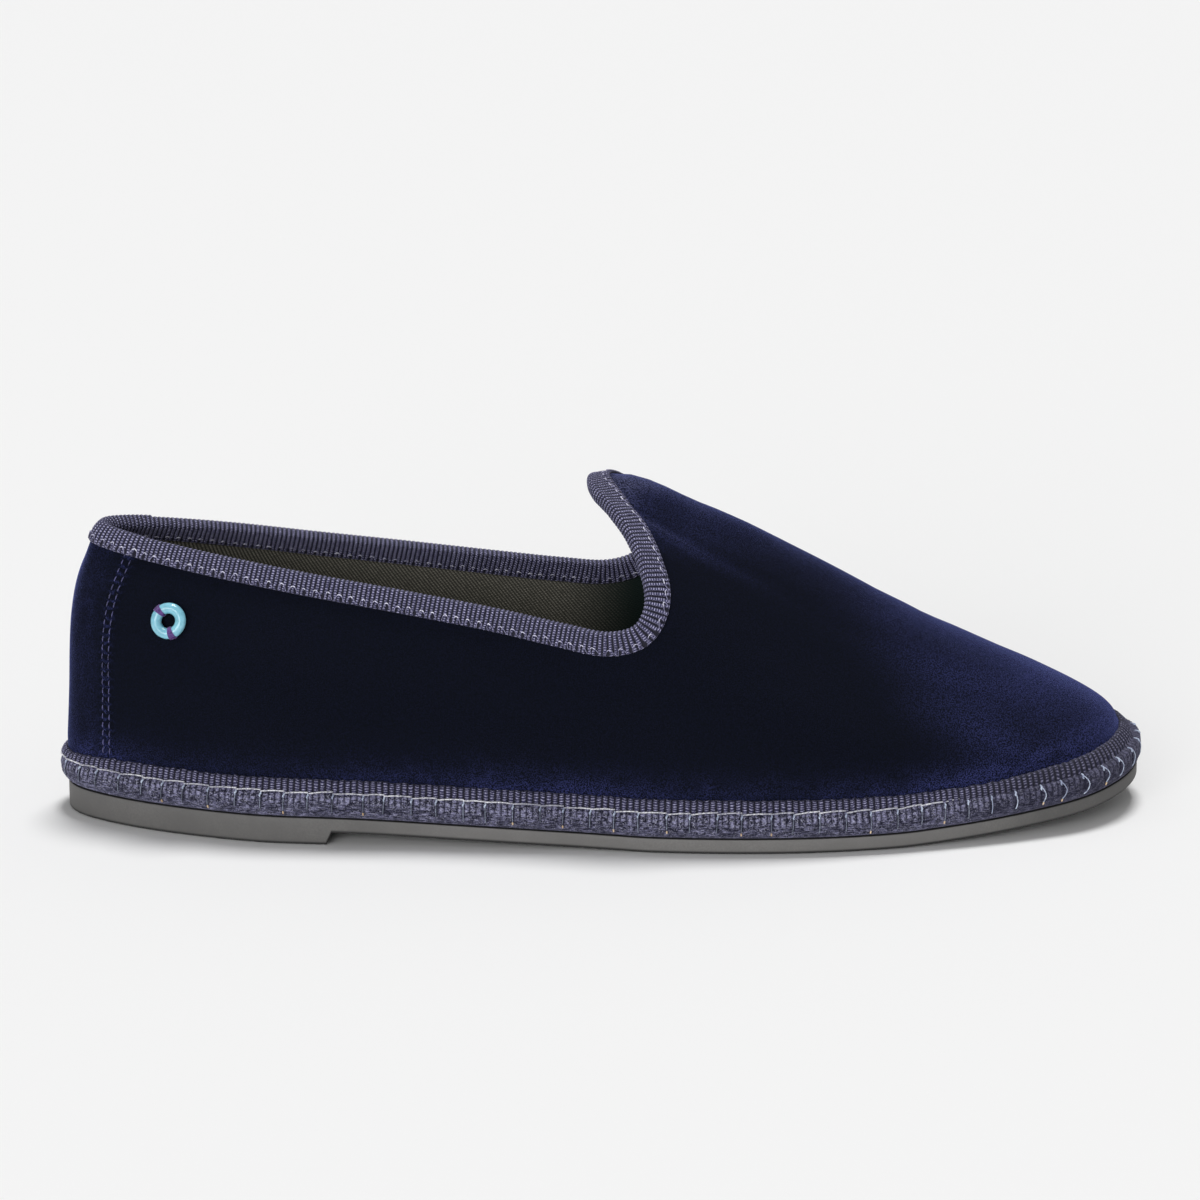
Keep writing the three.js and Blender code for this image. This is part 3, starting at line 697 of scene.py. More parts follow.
# The ribbon folded over the top line
collarRibbon = {
    "width": 4.7,
    "thickness": 0.78,
    "seat": 0.12,
    "foldRise": 1.15,
    "ribPitch": 1.1,
    "ribColumns": 6,
    "ribDepth": 0.24,
    "legRows": 11,
    "foldRows": 9,
    "selvedge": 1.3,
    "loopSway": 0.25,
    "stitchLine": 3.2,
    "stitchPitch": 2.78,
    "stitchWidth": 1.3,
    "stitchRadius": 0.13,
}

grosgrain = {
    # Painted shade: the first colour is the one down between the ribs
    "grooveShade": (0.004, 0.004, 0.014),
    "rib": (0.045, 0.044, 0.125),
    # Painted highlight: the pale colour of the yarn knots on the ribs' crests
    "knot": (0.72, 0.7, 1.0),
    "yarnPitch": 0.6,
}


# Round ribs across the band: the sine of the way from groove to groove, its sides made steeper
def ribShare(phase):
    return np.abs(np.sin(np.pi * phase)) ** 0.75


# Below the stitches neighbouring ribs sway apart and together, as the loops of the woven edge
def swayedPhase(phase, fromEdge):
    down = np.clip(1 - fromEdge / collarRibbon["selvedge"], 0, 1)
    return phase + collarRibbon["loopSway"] * np.sin(np.pi * phase) * np.sin(np.pi * down)


def makeCollarRibbon():
    form = collarRibbon
    length = evenPlaces(10, 3.0)[1]
    ribs = int(round(length / form["ribPitch"] / 2)) * 2
    count = ribs * form["ribColumns"]
    place = evenPlaces(count, 3.0)[0]
    distances = form["width"] * np.linspace(0, 1, form["legRows"]) ** 0.9
    at, row = downFromTop(place, distances)
    normal = wallOut(at, row)
    face = wallPoint(at, row)
    lap = lapAt(at)
    phase = (np.arange(count) / form["ribColumns"])[:, None]
    fromEdge = (form["width"] - distances)[None]
    rib = ribShare(swayedPhase(phase, fromEdge))
    edge = np.sqrt(1 - (1 - np.clip(fromEdge / 0.4, 0, 1)) ** 2)
    body = (form["thickness"] - form["ribDepth"]) * (0.45 + 0.55 * edge)
    trough = 0.14 * np.exp(-((distances - form["stitchLine"]) / 0.35) ** 2)[None]
    lift = body + form["ribDepth"] * rib - trough
    outerLeg = face + normal * (form["seat"] + lap + lift)[..., None]
    innerLeg = face - normal * (shoe["wallThickness"] + form["seat"] + lift)[..., None]
    topOut, topPoint = normal[:, 0], face[:, 0]
    above = unit(np.cross(topOut, wallAround(place, np.full_like(place, 3.0))))
    middle = topPoint + topOut * ((lap[:, 0] - shoe["wallThickness"]) / 2)[:, None]
    half = (shoe["wallThickness"] + lap[:, 0]) / 2 + form["seat"]

    def fold(angle, thickness):
        reach = (half[:, None] + thickness) * np.cos(angle)
        rise = (form["seat"] + thickness * form["foldRise"]) * np.sin(angle)
        return middle[:, None] + topOut[:, None] * reach[..., None] + above[:, None] * rise[..., None]

    angle = np.linspace(0, np.pi, form["foldRows"] + 2)[None, 1:-1]
    foldRib = ribShare(phase) + 0 * angle
    outerFold = fold(angle, form["thickness"] - form["ribDepth"] + form["ribDepth"] * foldRib)
    backAngle = np.linspace(np.pi, 0, 5)[None]
    innerFold = fold(backAngle, 0.0 * backAngle)
    backOuter = face[:, ::5][:, 1:] + normal[:, ::5][:, 1:] * (form["seat"] + lap[:, ::5][:, 1:])[..., None]
    backInner = face[:, ::5][:, 1:] - normal[:, ::5][:, 1:] * (shoe["wallThickness"] + form["seat"])
    points = np.concatenate([
        outerLeg[:, ::-1], outerFold, innerLeg, backInner[:, ::-1], innerFold, backOuter,
    ], 1)
    # Painted light: the inner leg's rib share is raised 1.3 times, so its ribs come out wider and lighter than the
    # outer leg's
    shares = [rib[:, ::-1], foldRib, 1.3 * rib]
    hidden = points.shape[1] - sum(part.shape[1] for part in shares)
    share = np.concatenate(shares + [np.zeros((count, hidden))], 1)
    across = wayUp(points).mean(0)
    u = np.arange(count + 1)[:, None] / count * length
    v = np.append(across, across[-1] + 1)[None]
    uv = np.stack(np.broadcast_arrays(u, v), -1)
    return ringPiece("collar_grosgrain", points, uv, {"rib": share})


# Stitches through the band: each is a loop, up one leg from the edge, over a cap and down the other
def makeCollarStitches():
    form = collarRibbon
    length = evenPlaces(10, 3.0)[1]
    count = int(length / form["stitchPitch"])
    chance = np.random.default_rng(21)
    start = (np.arange(count) + chance.uniform(-0.08, 0.08, count)) * length / count
    t = np.linspace(0, 1, 15)[None]
    fine, whole = evenPlaces(4000, 3.0)
    reach = form["width"] - form["stitchLine"]
    pieces = {"caps": ([], [], []), "legs": ([], [], [])}
    for face in (1, -1):
        turn = np.pi * (1 - t)
        wide = form["stitchWidth"] * chance.uniform(0.85, 1.15, count)[:, None]
        lean = chance.uniform(-0.25, 0.25, count)[:, None]
        rise = np.sin(turn) ** 0.8 + 0 * lean
        down = form["width"] - 0.15 - (reach + chance.uniform(-0.2, 0.2, count)[:, None]) * rise
        way = start[:, None] + wide * (0.5 + 0.2 * (1 - rise)) * np.cos(turn) + lean * rise
        place = np.interp(way % whole, np.arange(4000) / 4000 * whole, fine)
        at, row = downFromTop(place.ravel(), [1.0, 2.0, 3.0])
        at, row = at[:, 2], row[:, 2]
        step = wallUp(at, row)
        row = row - (down.ravel() - 3.0) / np.linalg.norm(step, axis=1)
        lap = lapAt(at) if face > 0 else shoe["wallThickness"] + 0 * at
        edge = np.sqrt(1 - (1 - np.clip((form["width"] - down) / 0.4, 0, 1)) ** 2)
        body = (form["thickness"] - form["ribDepth"]) * (0.45 + 0.55 * edge)
        off = lap + form["seat"] + body.ravel() + form["ribDepth"] * 0.7 + 0.12 * rise.ravel()
        normal = face * wallOut(at, row)
        point = (wallPoint(at, row) + normal * off[:, None]).reshape(count, -1, 3)
        normal = normal.reshape(count, -1, 3)
        radius = form["stitchRadius"] * chance.uniform(0.8, 1.15, count)[:, None] + 0 * way
        kept = (("caps", slice(4, 11)), ("legs", slice(0, 6)), ("legs", slice(9, 15)))
        for key, part in kept if face > 0 else kept[:1]:
            for values, made in zip(pieces[key], (point, normal, radius * (1.0 if key == "caps" else 0.85))):
                values.append(made[:, part])
    made = {key: [np.concatenate(values) for values in parts] for key, parts in pieces.items()}
    return [threadPiece("collar_caps", *made["caps"]), threadPiece("collar_loops", *made["legs"])]


def grosgrainMaterial(name, form, pitch, grooveEnd, uneven):
    material, tree, shader, coordinates = newMaterial(name, {
        "Roughness": 0.7,
        "Specular IOR Level": 0.3,
        "Sheen Weight": 0.25,
        "Sheen Roughness": 0.5,
        "Sheen Tint": (0.55, 0.55, 0.8, 1),
    })
    place = coordinates.outputs["Object"]
    parts = addNode(tree, "SeparateXYZ", {0: coordinates.outputs["UV"]})
    rib = attribute(tree, "rib")
    ribNumber = calculate(tree, "FLOOR", calculate(tree, "DIVIDE", parts.outputs[0], pitch))
    drift = calculate(tree, "MULTIPLY", noiseShare(tree, place, 300.0, 1.0), uneven)
    step = calculate(tree, "MULTIPLY_ADD", ribNumber, 0.5, drift)
    turn = calculate(tree, "ADD", calculate(tree, "DIVIDE", parts.outputs[1], form["yarnPitch"]), step)
    yarn = between(tree, calculate(tree, "SINE", calculate(tree, "MULTIPLY", turn, 2 * math.pi)), -0.2, 0.8)
    grain = noiseShare(tree, place, 3200.0, 2.0)
    # Painted shade: the colour goes to near black where the rib share falls into the grooves
    crest = between(tree, rib, grooveEnd, 0.97)
    base = mixColour(tree, calculate(tree, "MULTIPLY", crest, between(tree, grain, 0.1, 0.55)), form["grooveShade"], form["rib"])
    # Painted highlight: pale dots where the yarn crosses the ribs' crests
    knot = calculate(tree, "MULTIPLY", calculate(tree, "MULTIPLY", crest, yarn), between(tree, grain, 0.3, 0.65))
    tree.links.new(mixColour(tree, knot, base, form["knot"]), shader.inputs["Base Color"])
    finishBump(tree, shader, calculate(tree, "MULTIPLY", yarn, crest), 0.3, 0.9)
    return material


# The hem ribbon flares from the velvet to the roll; a closed section round its thickness
def hemColumns():
    length = evenPlaces(10, 0.0)[1]
    ribs = int(round(length / hemRibbon["ribPitch"]))
    count = ribs * hemRibbon["ribColumns"]
    return evenPlaces(count, 0.0)[0], length, count


# Painted shade: the ribbon and the roll are darkened round the toe
def toeShade(place, share):
    return 1 - share * smoothStep((planPoint(lineTurn(place))[..., 0] - 196) / 40)


def makeHemRibbon():
    form = hemRibbon
    place, length, count = hemColumns()
    up = np.linspace(0, 1, form["rows"])[None]
    height = hemHeight(place)[:, None]
    footToLow = np.linalg.norm(wallPoint(place, 0 * place + 1.0) - wallPoint(place, 0 * place), axis=-1)[:, None]
    rib = ribShare((np.arange(count) / form["ribColumns"])[:, None]) + 0 * up
    frayed = form["fray"] * softNoise(np.arange(count)[:, None] / 5, 0 * up, (max(count // 5, 1), 2), 31)
    row = ((height + form["skirt"] + frayed) * up - form["skirt"]) / footToLow
    rounding = np.sqrt(1 - np.clip((up - 0.84) / 0.16, 0, 1) ** 2)
    thick = form["edgeThickness"] + (form["thickness"] - form["edgeThickness"]) * (1 - up**1.6)
    off = lapAt(place)[:, None] - 0.1 + (shoe["seat"] + thick - form["ribDepth"]) * rounding + form["ribDepth"] * rib
    outer = offWall(place[:, None] + 0 * up, row, off)
    innerRow = row[:, ::-4]
    inner = offWall(place[:, None] + 0 * innerRow, innerRow, lapAt(place)[:, None] - 0.35 + 0 * innerRow)
    points = np.concatenate([outer, inner], 1)
    across = wayUp(points).mean(0)
    u = np.arange(count + 1)[:, None] / count * length
    v = np.append(across, across[-1] + 1)[None]
    rib = rib * form["shade"] * toeShade(place, form["toeShade"])[:, None]
    attributes = {"rib": np.concatenate([rib, 0 * innerRow], 1)}
    return ringPiece("hem_grosgrain", points, np.stack(np.broadcast_arrays(u, v), -1), attributes)


# The cloth sole's edge: how far the roll stands out at shares of its thickness, ribs near its top
# where the ribbon goes on over it, and below them lengthwise strands that lie loosely side by side
roll = {
    "up": [0, 0.07, 0.14, 0.36, 0.62, 0.86, 0.96, 1],
    "out": [-0.3, 0.2, 0.45, 0.95, 1, 0.72, 0.4, 0.15],
    "rows": 24,
    "ledgeRows": 5,
    "shoulder": 0.93,
    "junction": 1.04,
    "ribsFrom": 0.6,
    "ribFade": 0.22,
    "ribDepth": 0.24,
    "toeShade": 0.7,
    "strandDepth": 0.28,
    "strandPitch": 0.58,
    "pull": 0.3,
    "pullWidth": 0.45,
    # The roll's colour is mixed from dark to light by its rib attribute, which carries painted shade; the bright
    # colour after them is painted glints
    "dark": (0.008, 0.008, 0.022),
    "light": (0.25, 0.245, 0.4),
    "paintedGlint": (0.7, 0.7, 0.9),
}


# How far the foot of the ribbon stands out of the sole's outline
def ribbonFoot(place):
    share = (1 - np.cos(lineTurn(place))) / 2
    return shoe["seat"] + hemRibbon["thickness"] - shoe["featherInset"] * readColumn(wallTable, "inset", share)


# Where the legs of the blanket stitch stand, as shares of the way round
def legStarts(length):
    stitches = int(round(length / blanket["pitch"]))
    chance = np.random.default_rng(52)
    starts = (np.arange(stitches) + chance.uniform(-0.1, 0.1, stitches)) / stitches
    return np.sort(starts % 1), chance


# A point of the roll's face at a place round the wall and a share of the roll's height: over its
# shoulder the face goes in to the foot of the ribbon
def rollPoint(place, up, off):
    turn = lineTurn(place)
    point = planPoint(turn)
    x = point[..., 0]
    share = (1 - np.cos(turn)) / 2
    out = np.interp(up, roll["up"], roll["out"]) * shoe["midsoleRoll"] * readColumn(sideTable, "roll", share)
    inwards = smoothStep((up - roll["shoulder"]) / (roll["junction"] - roll["shoulder"]))
    out = out + (ribbonFoot(place) - out) * inwards
    point = point + planOut(turn) * (out + off)[..., None]
    point[..., 2] = clothBottom(x) + shoe["midsoleThickness"] * up
    return point


def makeRoll():
    place, length, count = hemColumns()
    if count % 2:
        raise ValueError("the roll needs an even number of columns")
    up = np.linspace(0, roll["shoulder"], roll["rows"])[:, None]
    way = (np.arange(count) / count)[None]
    phase = (np.arange(count) / hemRibbon["ribColumns"])[None]
    wander = 0.09 * softNoise(way * 150, 0 * up, (150, 2), 41)
    ribs = smoothStep((up - roll["ribsFrom"] - wander) / roll["ribFade"] + 0.5)
    rib = ribShare(phase + 0 * up)
    sway = softNoise(way * 240, up * 3, (240, 4), 43)
    strand = up * shoe["midsoleThickness"] / roll["strandPitch"] + 0.55 * sway
    strands = np.abs(np.sin(np.pi * strand)) ** 0.7
    lumps = softNoise(way * 620, up * 9, (620, 10), 45)
    relief = ribs * rib * roll["ribDepth"] + (1 - ribs) * roll["strandDepth"] * (strands + 0.45 * lumps - 0.4)
    fromLeg = np.abs((way[0][:, None] - legStarts(length)[0] + 0.5) % 1 - 0.5).min(1) * length
    pull = np.exp(-((fromLeg / roll["pullWidth"]) ** 2)) * smoothStep((up - 0.2) / 0.3)
    relief = relief - roll["pull"] * pull
    places = np.where(np.arange(count) > 0, place, 0)[None]
    face = rollPoint(places + 0 * up, up + 0 * places, (relief - 0.12) * smoothStep(up / 0.08))
    ledge = np.linspace(0, 1, roll["ledgeRows"] + 1)[1:, None]
    edge = np.linalg.norm((face[-1] - planPoint(lineTurn(places[0])))[:, :2], axis=-1)[None]
    outs = edge + (np.minimum(ribbonFoot(places) - 0.5, edge - 0.1) - edge) * ledge
    top = planPoint(lineTurn(places + 0 * ledge)) + planOut(lineTurn(places + 0 * ledge)) * outs[..., None]
    rise = shoe["midsoleThickness"] * (roll["shoulder"] + (0.985 - roll["shoulder"]) * np.sin(ledge * np.pi / 2))
    top[..., 2] = clothBottom(planPoint(lineTurn(places))[..., 0]) + rise + 0.14 * ribShare(phase + 0 * ledge) * ledge
    points = np.concatenate([face, top])
    # Partly painted shade: darker in the gaps between ribs and strands and in the hollows where the legs pull in
    shade = (ribs * rib + (1 - ribs) * np.clip(0.62 * strands + 0.3 * lumps, 0, 1)) * (1 - 0.7 * pull)
    shade = np.concatenate([shade, ribShare(phase + 0 * ledge)]) * toeShade(places, roll["toeShade"])
    u = np.append(way[0], 1)[None] * length
    v = np.arange(len(points))[:, None] * 0.27
    uv = np.stack(np.broadcast_arrays(u, v), -1)
    return slabPiece("sole_roll", points, uv, {"rib": shade})


def rollMaterial():
    material, tree, shader, coordinates = newMaterial("sole edge textile", {
        "Roughness": 0.8,
        "Specular IOR Level": 0.2,
        "Sheen Weight": 0.25,
        "Sheen Roughness": 0.5,
        "Sheen Tint": (0.55, 0.55, 0.8, 1),
    })
    place = coordinates.outputs["Object"]
    stretched = addNode(tree, "Mapping", {0: place, 3: (0.35, 0.35, 1)}).outputs[0]
    fibre = noiseShare(tree, stretched, 2200.0, 3.0, 0.75)
    fine = noiseShare(tree, place, 3000.0, 2.0)
    rib = attribute(tree, "rib")
    share = calculate(tree, "MULTIPLY", rib, between(tree, fibre, 0.45, 0.58))
    base = mixColour(tree, share, roll["dark"], roll["light"])
    # Painted glints: bright specks on the crests
    paintedGlint = calculate(tree, "MULTIPLY", between(tree, fine, 0.5, 0.68), rib)
    tree.links.new(mixColour(tree, calculate(tree, "MULTIPLY", paintedGlint, 0.5), base, roll["paintedGlint"]), shader.inputs["Base Color"])
    finishBump(tree, shader, calculate(tree, "ADD", fibre, fine), 0.22, 0.8)
    return material


# The blanket stitch that holds ribbon and roll: a slack strand along the top of the roll, a knot
# at each leg, and legs down the roll that bow towards the tip on the toe
blanket = {
    "pitch": 6.0,
    "line": 1.03,
    "legFoot": 0.3,
    "strandRadius": 0.18,
    "legRadius": 0.13,
    "knotRadius": 0.25,
    "toeBow": 1.5,
    "bowFrom": 0.84,
    "sinkFrom": 0.76,
    "sink": 1.2,
}


def makeBlanketStitch():
    place, length, count = hemColumns()
    starts, chance = legStarts(length)
    stitches = len(starts)
    fine = np.append(place, wayRound)
    share = np.linspace(0, 1, count + 1)
    ends = np.append(starts[1:], starts[0] + 1)
    t = np.linspace(0, 1, 13)[None]
    way = starts[:, None] + (ends - starts)[:, None] * t
    at = np.interp(way % 1, share, fine)
    low = chance.uniform(0.0, 0.07, stitches)[:, None]
    high = chance.uniform(0.0, 0.07, stitches)[:, None]
    up = blanket["line"] - low * (1 - t) + high * t + 0.03 * np.sin(np.pi * t)
    sunk = smoothStep(((1 - np.cos(lineTurn(at))) / 2 - blanket["sinkFrom"]) / 0.1)
    strands = rollPoint(at, up, 0.3 - 0.1 * (np.abs(t - 0.5) * 2) ** 6 - blanket["sink"] * sunk)
    strandOut = planOut(lineTurn(at))
    radius = blanket["strandRadius"] * (1 + 0.12 * np.sin(25 * t + low * 60))
    legShare = (1 - np.cos(lineTurn(np.interp(starts, share, fine)))) / 2
    bow = blanket["toeBow"] * smoothStep((legShare - blanket["bowFrom"]) / 0.1)
    side = np.where(starts < np.interp(tipPlace, fine, share), 1, -1)
    drop = np.linspace(0, 1, 9)[None]
    foot = blanket["legFoot"] + chance.uniform(-0.08, 0.1, stitches)[:, None]
    legUp = blanket["line"] - 0.06 - (blanket["line"] - 0.06 - foot) * drop
    lean = chance.uniform(-0.35, 0.1, stitches)[:, None] * drop * side[:, None]
    shift = lean + bow[:, None] * np.sin(np.pi * drop * 0.9) * side[:, None]
    legAt = np.interp((starts[:, None] + shift / length) % 1, share, fine)
    tucked = smoothStep((legShare - blanket["bowFrom"]) / 0.1)[:, None]
    legs = rollPoint(legAt, legUp, 0.2 - 0.15 * drop**3 - 0.14 * tucked * (1 - drop) + 0 * legAt)
    legOut = planOut(lineTurn(legAt))
    knotDrop = np.linspace(0, 1, 7)[None]
    knotUp = blanket["line"] - 0.04 - 0.15 * knotDrop + 0 * legAt[:, :7]
    knotShift = 0.12 * np.sin(2 * np.pi * knotDrop) + 0 * legAt[:, :7]
    knotAt = np.interp((starts[:, None] + knotShift / length) % 1, share, fine)
    ties = rollPoint(knotAt, knotUp, 0.3 - 0.36 * tucked + 0.12 * np.sin(np.pi * knotDrop) + 0 * knotAt)
    knotOut = planOut(lineTurn(knotAt))
    knotRadius = blanket["knotRadius"] * (0.65 + 0.35 * np.sin(np.pi * knotDrop)) + 0 * knotAt
    onToe = legShare > blanket["bowFrom"]
    dotted = chance.uniform(0, 1, stitches) < 0.3
    dotUp = foot[dotted] - 0.02 - 0.09 * np.linspace(0, 1, 5)[None]
    dotAt = legAt[dotted][:, -1:] + 0 * dotUp
    dots = rollPoint(dotAt, dotUp, 0.18 + 0 * dotUp)
    return [
        threadPiece("blanket_strand", strands, strandOut, radius + 0 * at),
        threadPiece("blanket_legs", legs[~onToe], legOut[~onToe], blanket["legRadius"] + 0 * legAt[~onToe]),
        threadPiece("toe_legs", legs[onToe], legOut[onToe], blanket["legRadius"] + 0 * legAt[onToe]),
        threadPiece("blanket_knots", ties, knotOut, knotRadius),
        threadPiece("tacking_ends", dots, planOut(lineTurn(dotAt)), 0.2 + 0 * dotUp),
    ]


# Each thread has a light and a dark copy of its colour, mixed by noise along its twist: painted highlight and painted
# shade
def threadMaterial(name, colour, dark):
    material, tree, shader, coordinates = newMaterial(name, {
        "Roughness": 0.5, "Specular IOR Level": 0.4, "Sheen Weight": 0.2, "Sheen Roughness": 0.4,
    })
    place = coordinates.outputs["Object"]
    twist = noiseShare(tree, place, 2400.0, 2.0)
    patch = noiseShare(tree, place, 90.0, 1.0)
    share = calculate(tree, "MULTIPLY", between(tree, twist, 0.3, 0.6), between(tree, patch, 0.2, 0.55))
    tree.links.new(mixColour(tree, share, dark, colour), shader.inputs["Base Color"])
    finishBump(tree, shader, twist, 0.08, 0.6)
    return material


# The double row of stitches up each heel seam
heelSeam = {"pitch": 2.1, "length": 1.45, "radius": 0.14, "hemClear": 1.2, "collarClear": 5.2}


def makeHeelStitches():
    paths, outs, radii = [], [], []
    chance = np.random.default_rng(61)
    t = np.linspace(0, 1, 7)[None]
    for line in velvet["seamLines"]:
        for side in (1, -1):
            at = (lapPlace - line) * side
            rows = np.linspace(0, 3, 400)
            points = wallPoint(np.full(400, float(at)), rows)
            way = np.concatenate([[0], np.cumsum(np.linalg.norm(np.diff(points, axis=0), axis=1))])
            first = float(hemHeight(np.array([at]))[0]) + heelSeam["hemClear"]
            starts = np.arange(first, way[-1] - heelSeam["collarClear"], heelSeam["pitch"])
            starts = starts + chance.uniform(-0.1, 0.1, len(starts))
            row = np.interp(starts[:, None] + t * heelSeam["length"], way, rows)
            sway = chance.uniform(-0.08, 0.08, len(starts))[:, None]
            grid = at + sway + 0.12 * (t - 0.5)
            arch = np.sin(np.pi * t) ** 0.7 + 0 * row
            off = lapAt(grid) - velvet["seamDepth"] * 1.1 + 0.2 * arch
            paths.append(offWall(grid, row, off))
            outs.append(wallOut(grid, row))
            radii.append(heelSeam["radius"] * (0.7 + 0.3 * arch))
    return threadPiece("heel_seam_stitches", np.concatenate(paths), np.concatenate(outs), np.concatenate(radii))


# Rubber outsole: a bevel round its ground edge, straight sides, the heel's breast a short slant
outsole = {
    "stations": 420,
    "bevelRows": 6,
    "sideRows": 5,
    "topRound": 0.18,
    "colour": (0.1, 0.098, 0.096),
    # The paler rubber, mixed in by mottled dust and by painted light along the sole
    "dustAndLight": (0.235, 0.229, 0.222),
    # Painted shade on the bevel at the ground
    "edge": (0.04, 0.04, 0.04),
}


def soleTurns(stations):
    length = shoe["soleLength"]
    breast = [np.arccos(1 - 2 * (shoe["heelLength"] + slant) / length) for slant in (0, shoe["breastSlant"])]
    even = np.linspace(0, np.pi, stations + 1)
    spacing = np.pi / stations
    kept = even[(even < breast[0] - spacing / 3) | (even > breast[1] + spacing / 3)]
    outer = np.sort(np.concatenate([kept, breast]))
    return np.concatenate([outer, 2 * np.pi - outer[-2:0:-1]])


def makeOutsole():
    turns = soleTurns(outsole["stations"])
    plan, out = planPoint(turns), planOut(turns)
    x = plan[:, 0]
    ground = np.where(x < shoe["heelLength"] + shoe["breastSlant"] / 2, 0, lowSurface(x))
    top = rubberTop(x)
    bevel, rounding = shoe["outsoleBevel"], outsole["topRound"]
    angle = np.linspace(0, np.pi / 2, outsole["bevelRows"])[:, None]
    bevelOut = -bevel * (1 - np.sin(angle)) + 0 * x
    bevelUp = ground + shoe["bevelRise"] * (1 - np.cos(angle))
    side = np.linspace(0, 1, outsole["sideRows"])[1:, None]
    sideUp = ground + shoe["bevelRise"] + (top - rounding - ground - shoe["bevelRise"]) * side
    roundAngle = np.linspace(0, np.pi / 2, 4)[1:, None]
    roundOut = -rounding * (1 - np.cos(roundAngle)) + 0 * x
    roundUp = top - rounding * (1 - np.sin(roundAngle))
    offsets = np.concatenate([bevelOut, 0 * sideUp, roundOut])
    heights = np.concatenate([bevelUp, sideUp, roundUp])
    points = plan[None] + out[None] * offsets[..., None]
    points[..., 2] = heights
    way = np.concatenate([[0], np.cumsum(np.linalg.norm(np.diff(plan, axis=0, append=plan[:1]), axis=1))])
    v = heights - ground
    v = np.concatenate([v, v[:, :1]], 1)
    # Painted light and shade: paler from the heel's breast through the forepart, darker at the heel and again round
    # the toe
    pale = 0.35 + 0.65 * smoothStep((x - shoe["heelLength"]) / 40) - 1.3 * smoothStep((x - 200) / 48)
    uv = np.stack(np.broadcast_arrays(way[None], v), -1)
    piece = slabPiece("rubber_outsole", points, uv, {"pale": pale + 0 * heights})
    piece.data.set_sharp_from_angle(angle=math.radians(40))
    return piece


def rubberMaterial():
    material, tree, shader, coordinates = newMaterial("grey rubber", {"Roughness": 0.62, "Specular IOR Level": 0.35})
    place = coordinates.outputs["Object"]
    cloud = noiseShare(tree, place, 60.0, 4.0, 0.6)
    grain = noiseShare(tree, place, 2200.0, 2.0)
    parts = addNode(tree, "SeparateXYZ", {0: coordinates.outputs["UV"]})
    mottle = calculate(tree, "MULTIPLY", between(tree, cloud, 0.35, 0.75), between(tree, grain, 0.2, 0.8))
    # The pale attribute is painted light and shade; the mottle is dust
    share = calculate(tree, "MULTIPLY_ADD", attribute(tree, "pale"), 0.5, calculate(tree, "MULTIPLY", mottle, 0.5))
    face = mixColour(tree, share, outsole["colour"], outsole["dustAndLight"])
    # Painted shade: the bevel along the ground edge goes to the near black edge colour, fading out just above it
    low = between(tree, parts.outputs[1], 0.95, 0.6)
    tree.links.new(mixColour(tree, low, face, outsole["edge"]), shader.inputs["Base Color"])
    finishBump(tree, shader, grain, 0.06, 0.35)
    return material


# The insole: a slab of cloth clear of the lining, its top edge rounded and its middle a little hollow
insole = {"thickness": 2.4, "room": 0.35, "edge": 0.7, "hollow": 0.35, "stations": 240}


def makeInsole():
    turns = soleTurns(insole["stations"])
    share = (1 - np.cos(turns)) / 2
    tilt = shoe["toeLean"] * readColumn(wallTable, "lean", share)
    tilt = tilt / (shoe["quarterHeight"] * readColumn(wallTable, "cap", share))
    plan, out = planPoint(turns), planOut(turns)
    base = featherHeight(plan[:, 0])
    edge, thickness = insole["edge"], insole["thickness"]
    angle = np.linspace(0, np.pi / 2, 6)[:, None]
    ups = np.concatenate([np.array([[0.0]]), thickness - edge + edge * np.sin(angle)])
    ins = np.concatenate([np.array([[0.0]]), edge * (1 - np.cos(angle))])
    wallFoot = shoe["featherInset"] * readColumn(wallTable, "inset", share) + shoe["wallThickness"] * np.hypot(1, tilt)
    inset = wallFoot + insole["room"] + np.maximum(tilt, 0) * ups + ins
    points = plan[None] - out[None] * inset[..., None]
    points[..., 2] = base + ups
    middle = points[-1].copy()
    middle[:, 1] = (middle[:, 1] + middle[(-np.arange(len(turns))) % len(turns), 1]) / 2
    shares = np.array([0.12, 0.3, 0.6])[:, None, None]
    dish = points[-1] + (middle - points[-1]) * shares
    dish[..., 2] -= insole["hollow"] * smoothStep(shares[..., 0] / 0.6)
    points = np.concatenate([points, dish])
    uv = np.concatenate([points, points[:, :1]], 1)[..., :2]
    return slabPiece("cloth_insole", points, uv)


# The glass ring: a torus flat on the velvet, held by purple thread wound over it in two places
bead = {
    "ring": 3.0,
    "tube": 1.3,
    "line": 0.1324,
    "up": 0.42,
    "lift": 0.2,
    "wraps": (135.0, 291.5),
    "turns": 5,
    "threadRadius": 0.15,
    "spacing": 0.26,
    "glass": (0.2, 0.5, 0.62, 1),
}


def beadFrame():
    place, row = np.array(tipPlace * bead["line"]), np.array(1 + 2 * bead["up"])
    out = wallOut(place, row)
    up = unit(np.array([0.0, 0.0, 1.0]) - out * out[2])
    centre = offWall(place, row, lapAt(place) + bead["lift"] + bead["tube"])
    return centre, np.cross(up, out), up, out


# centre + (ring + tube cos b)(right cos a + up sin a) + out tube sin b
def torusPoint(angle, bend, tube):
    centre, right, up, out = beadFrame()
    radial = right * np.cos(angle)[..., None] + up * np.sin(angle)[..., None]
    return centre + radial * (bead["ring"] + tube * np.cos(bend))[..., None] + out * (tube * np.sin(bend))[..., None]


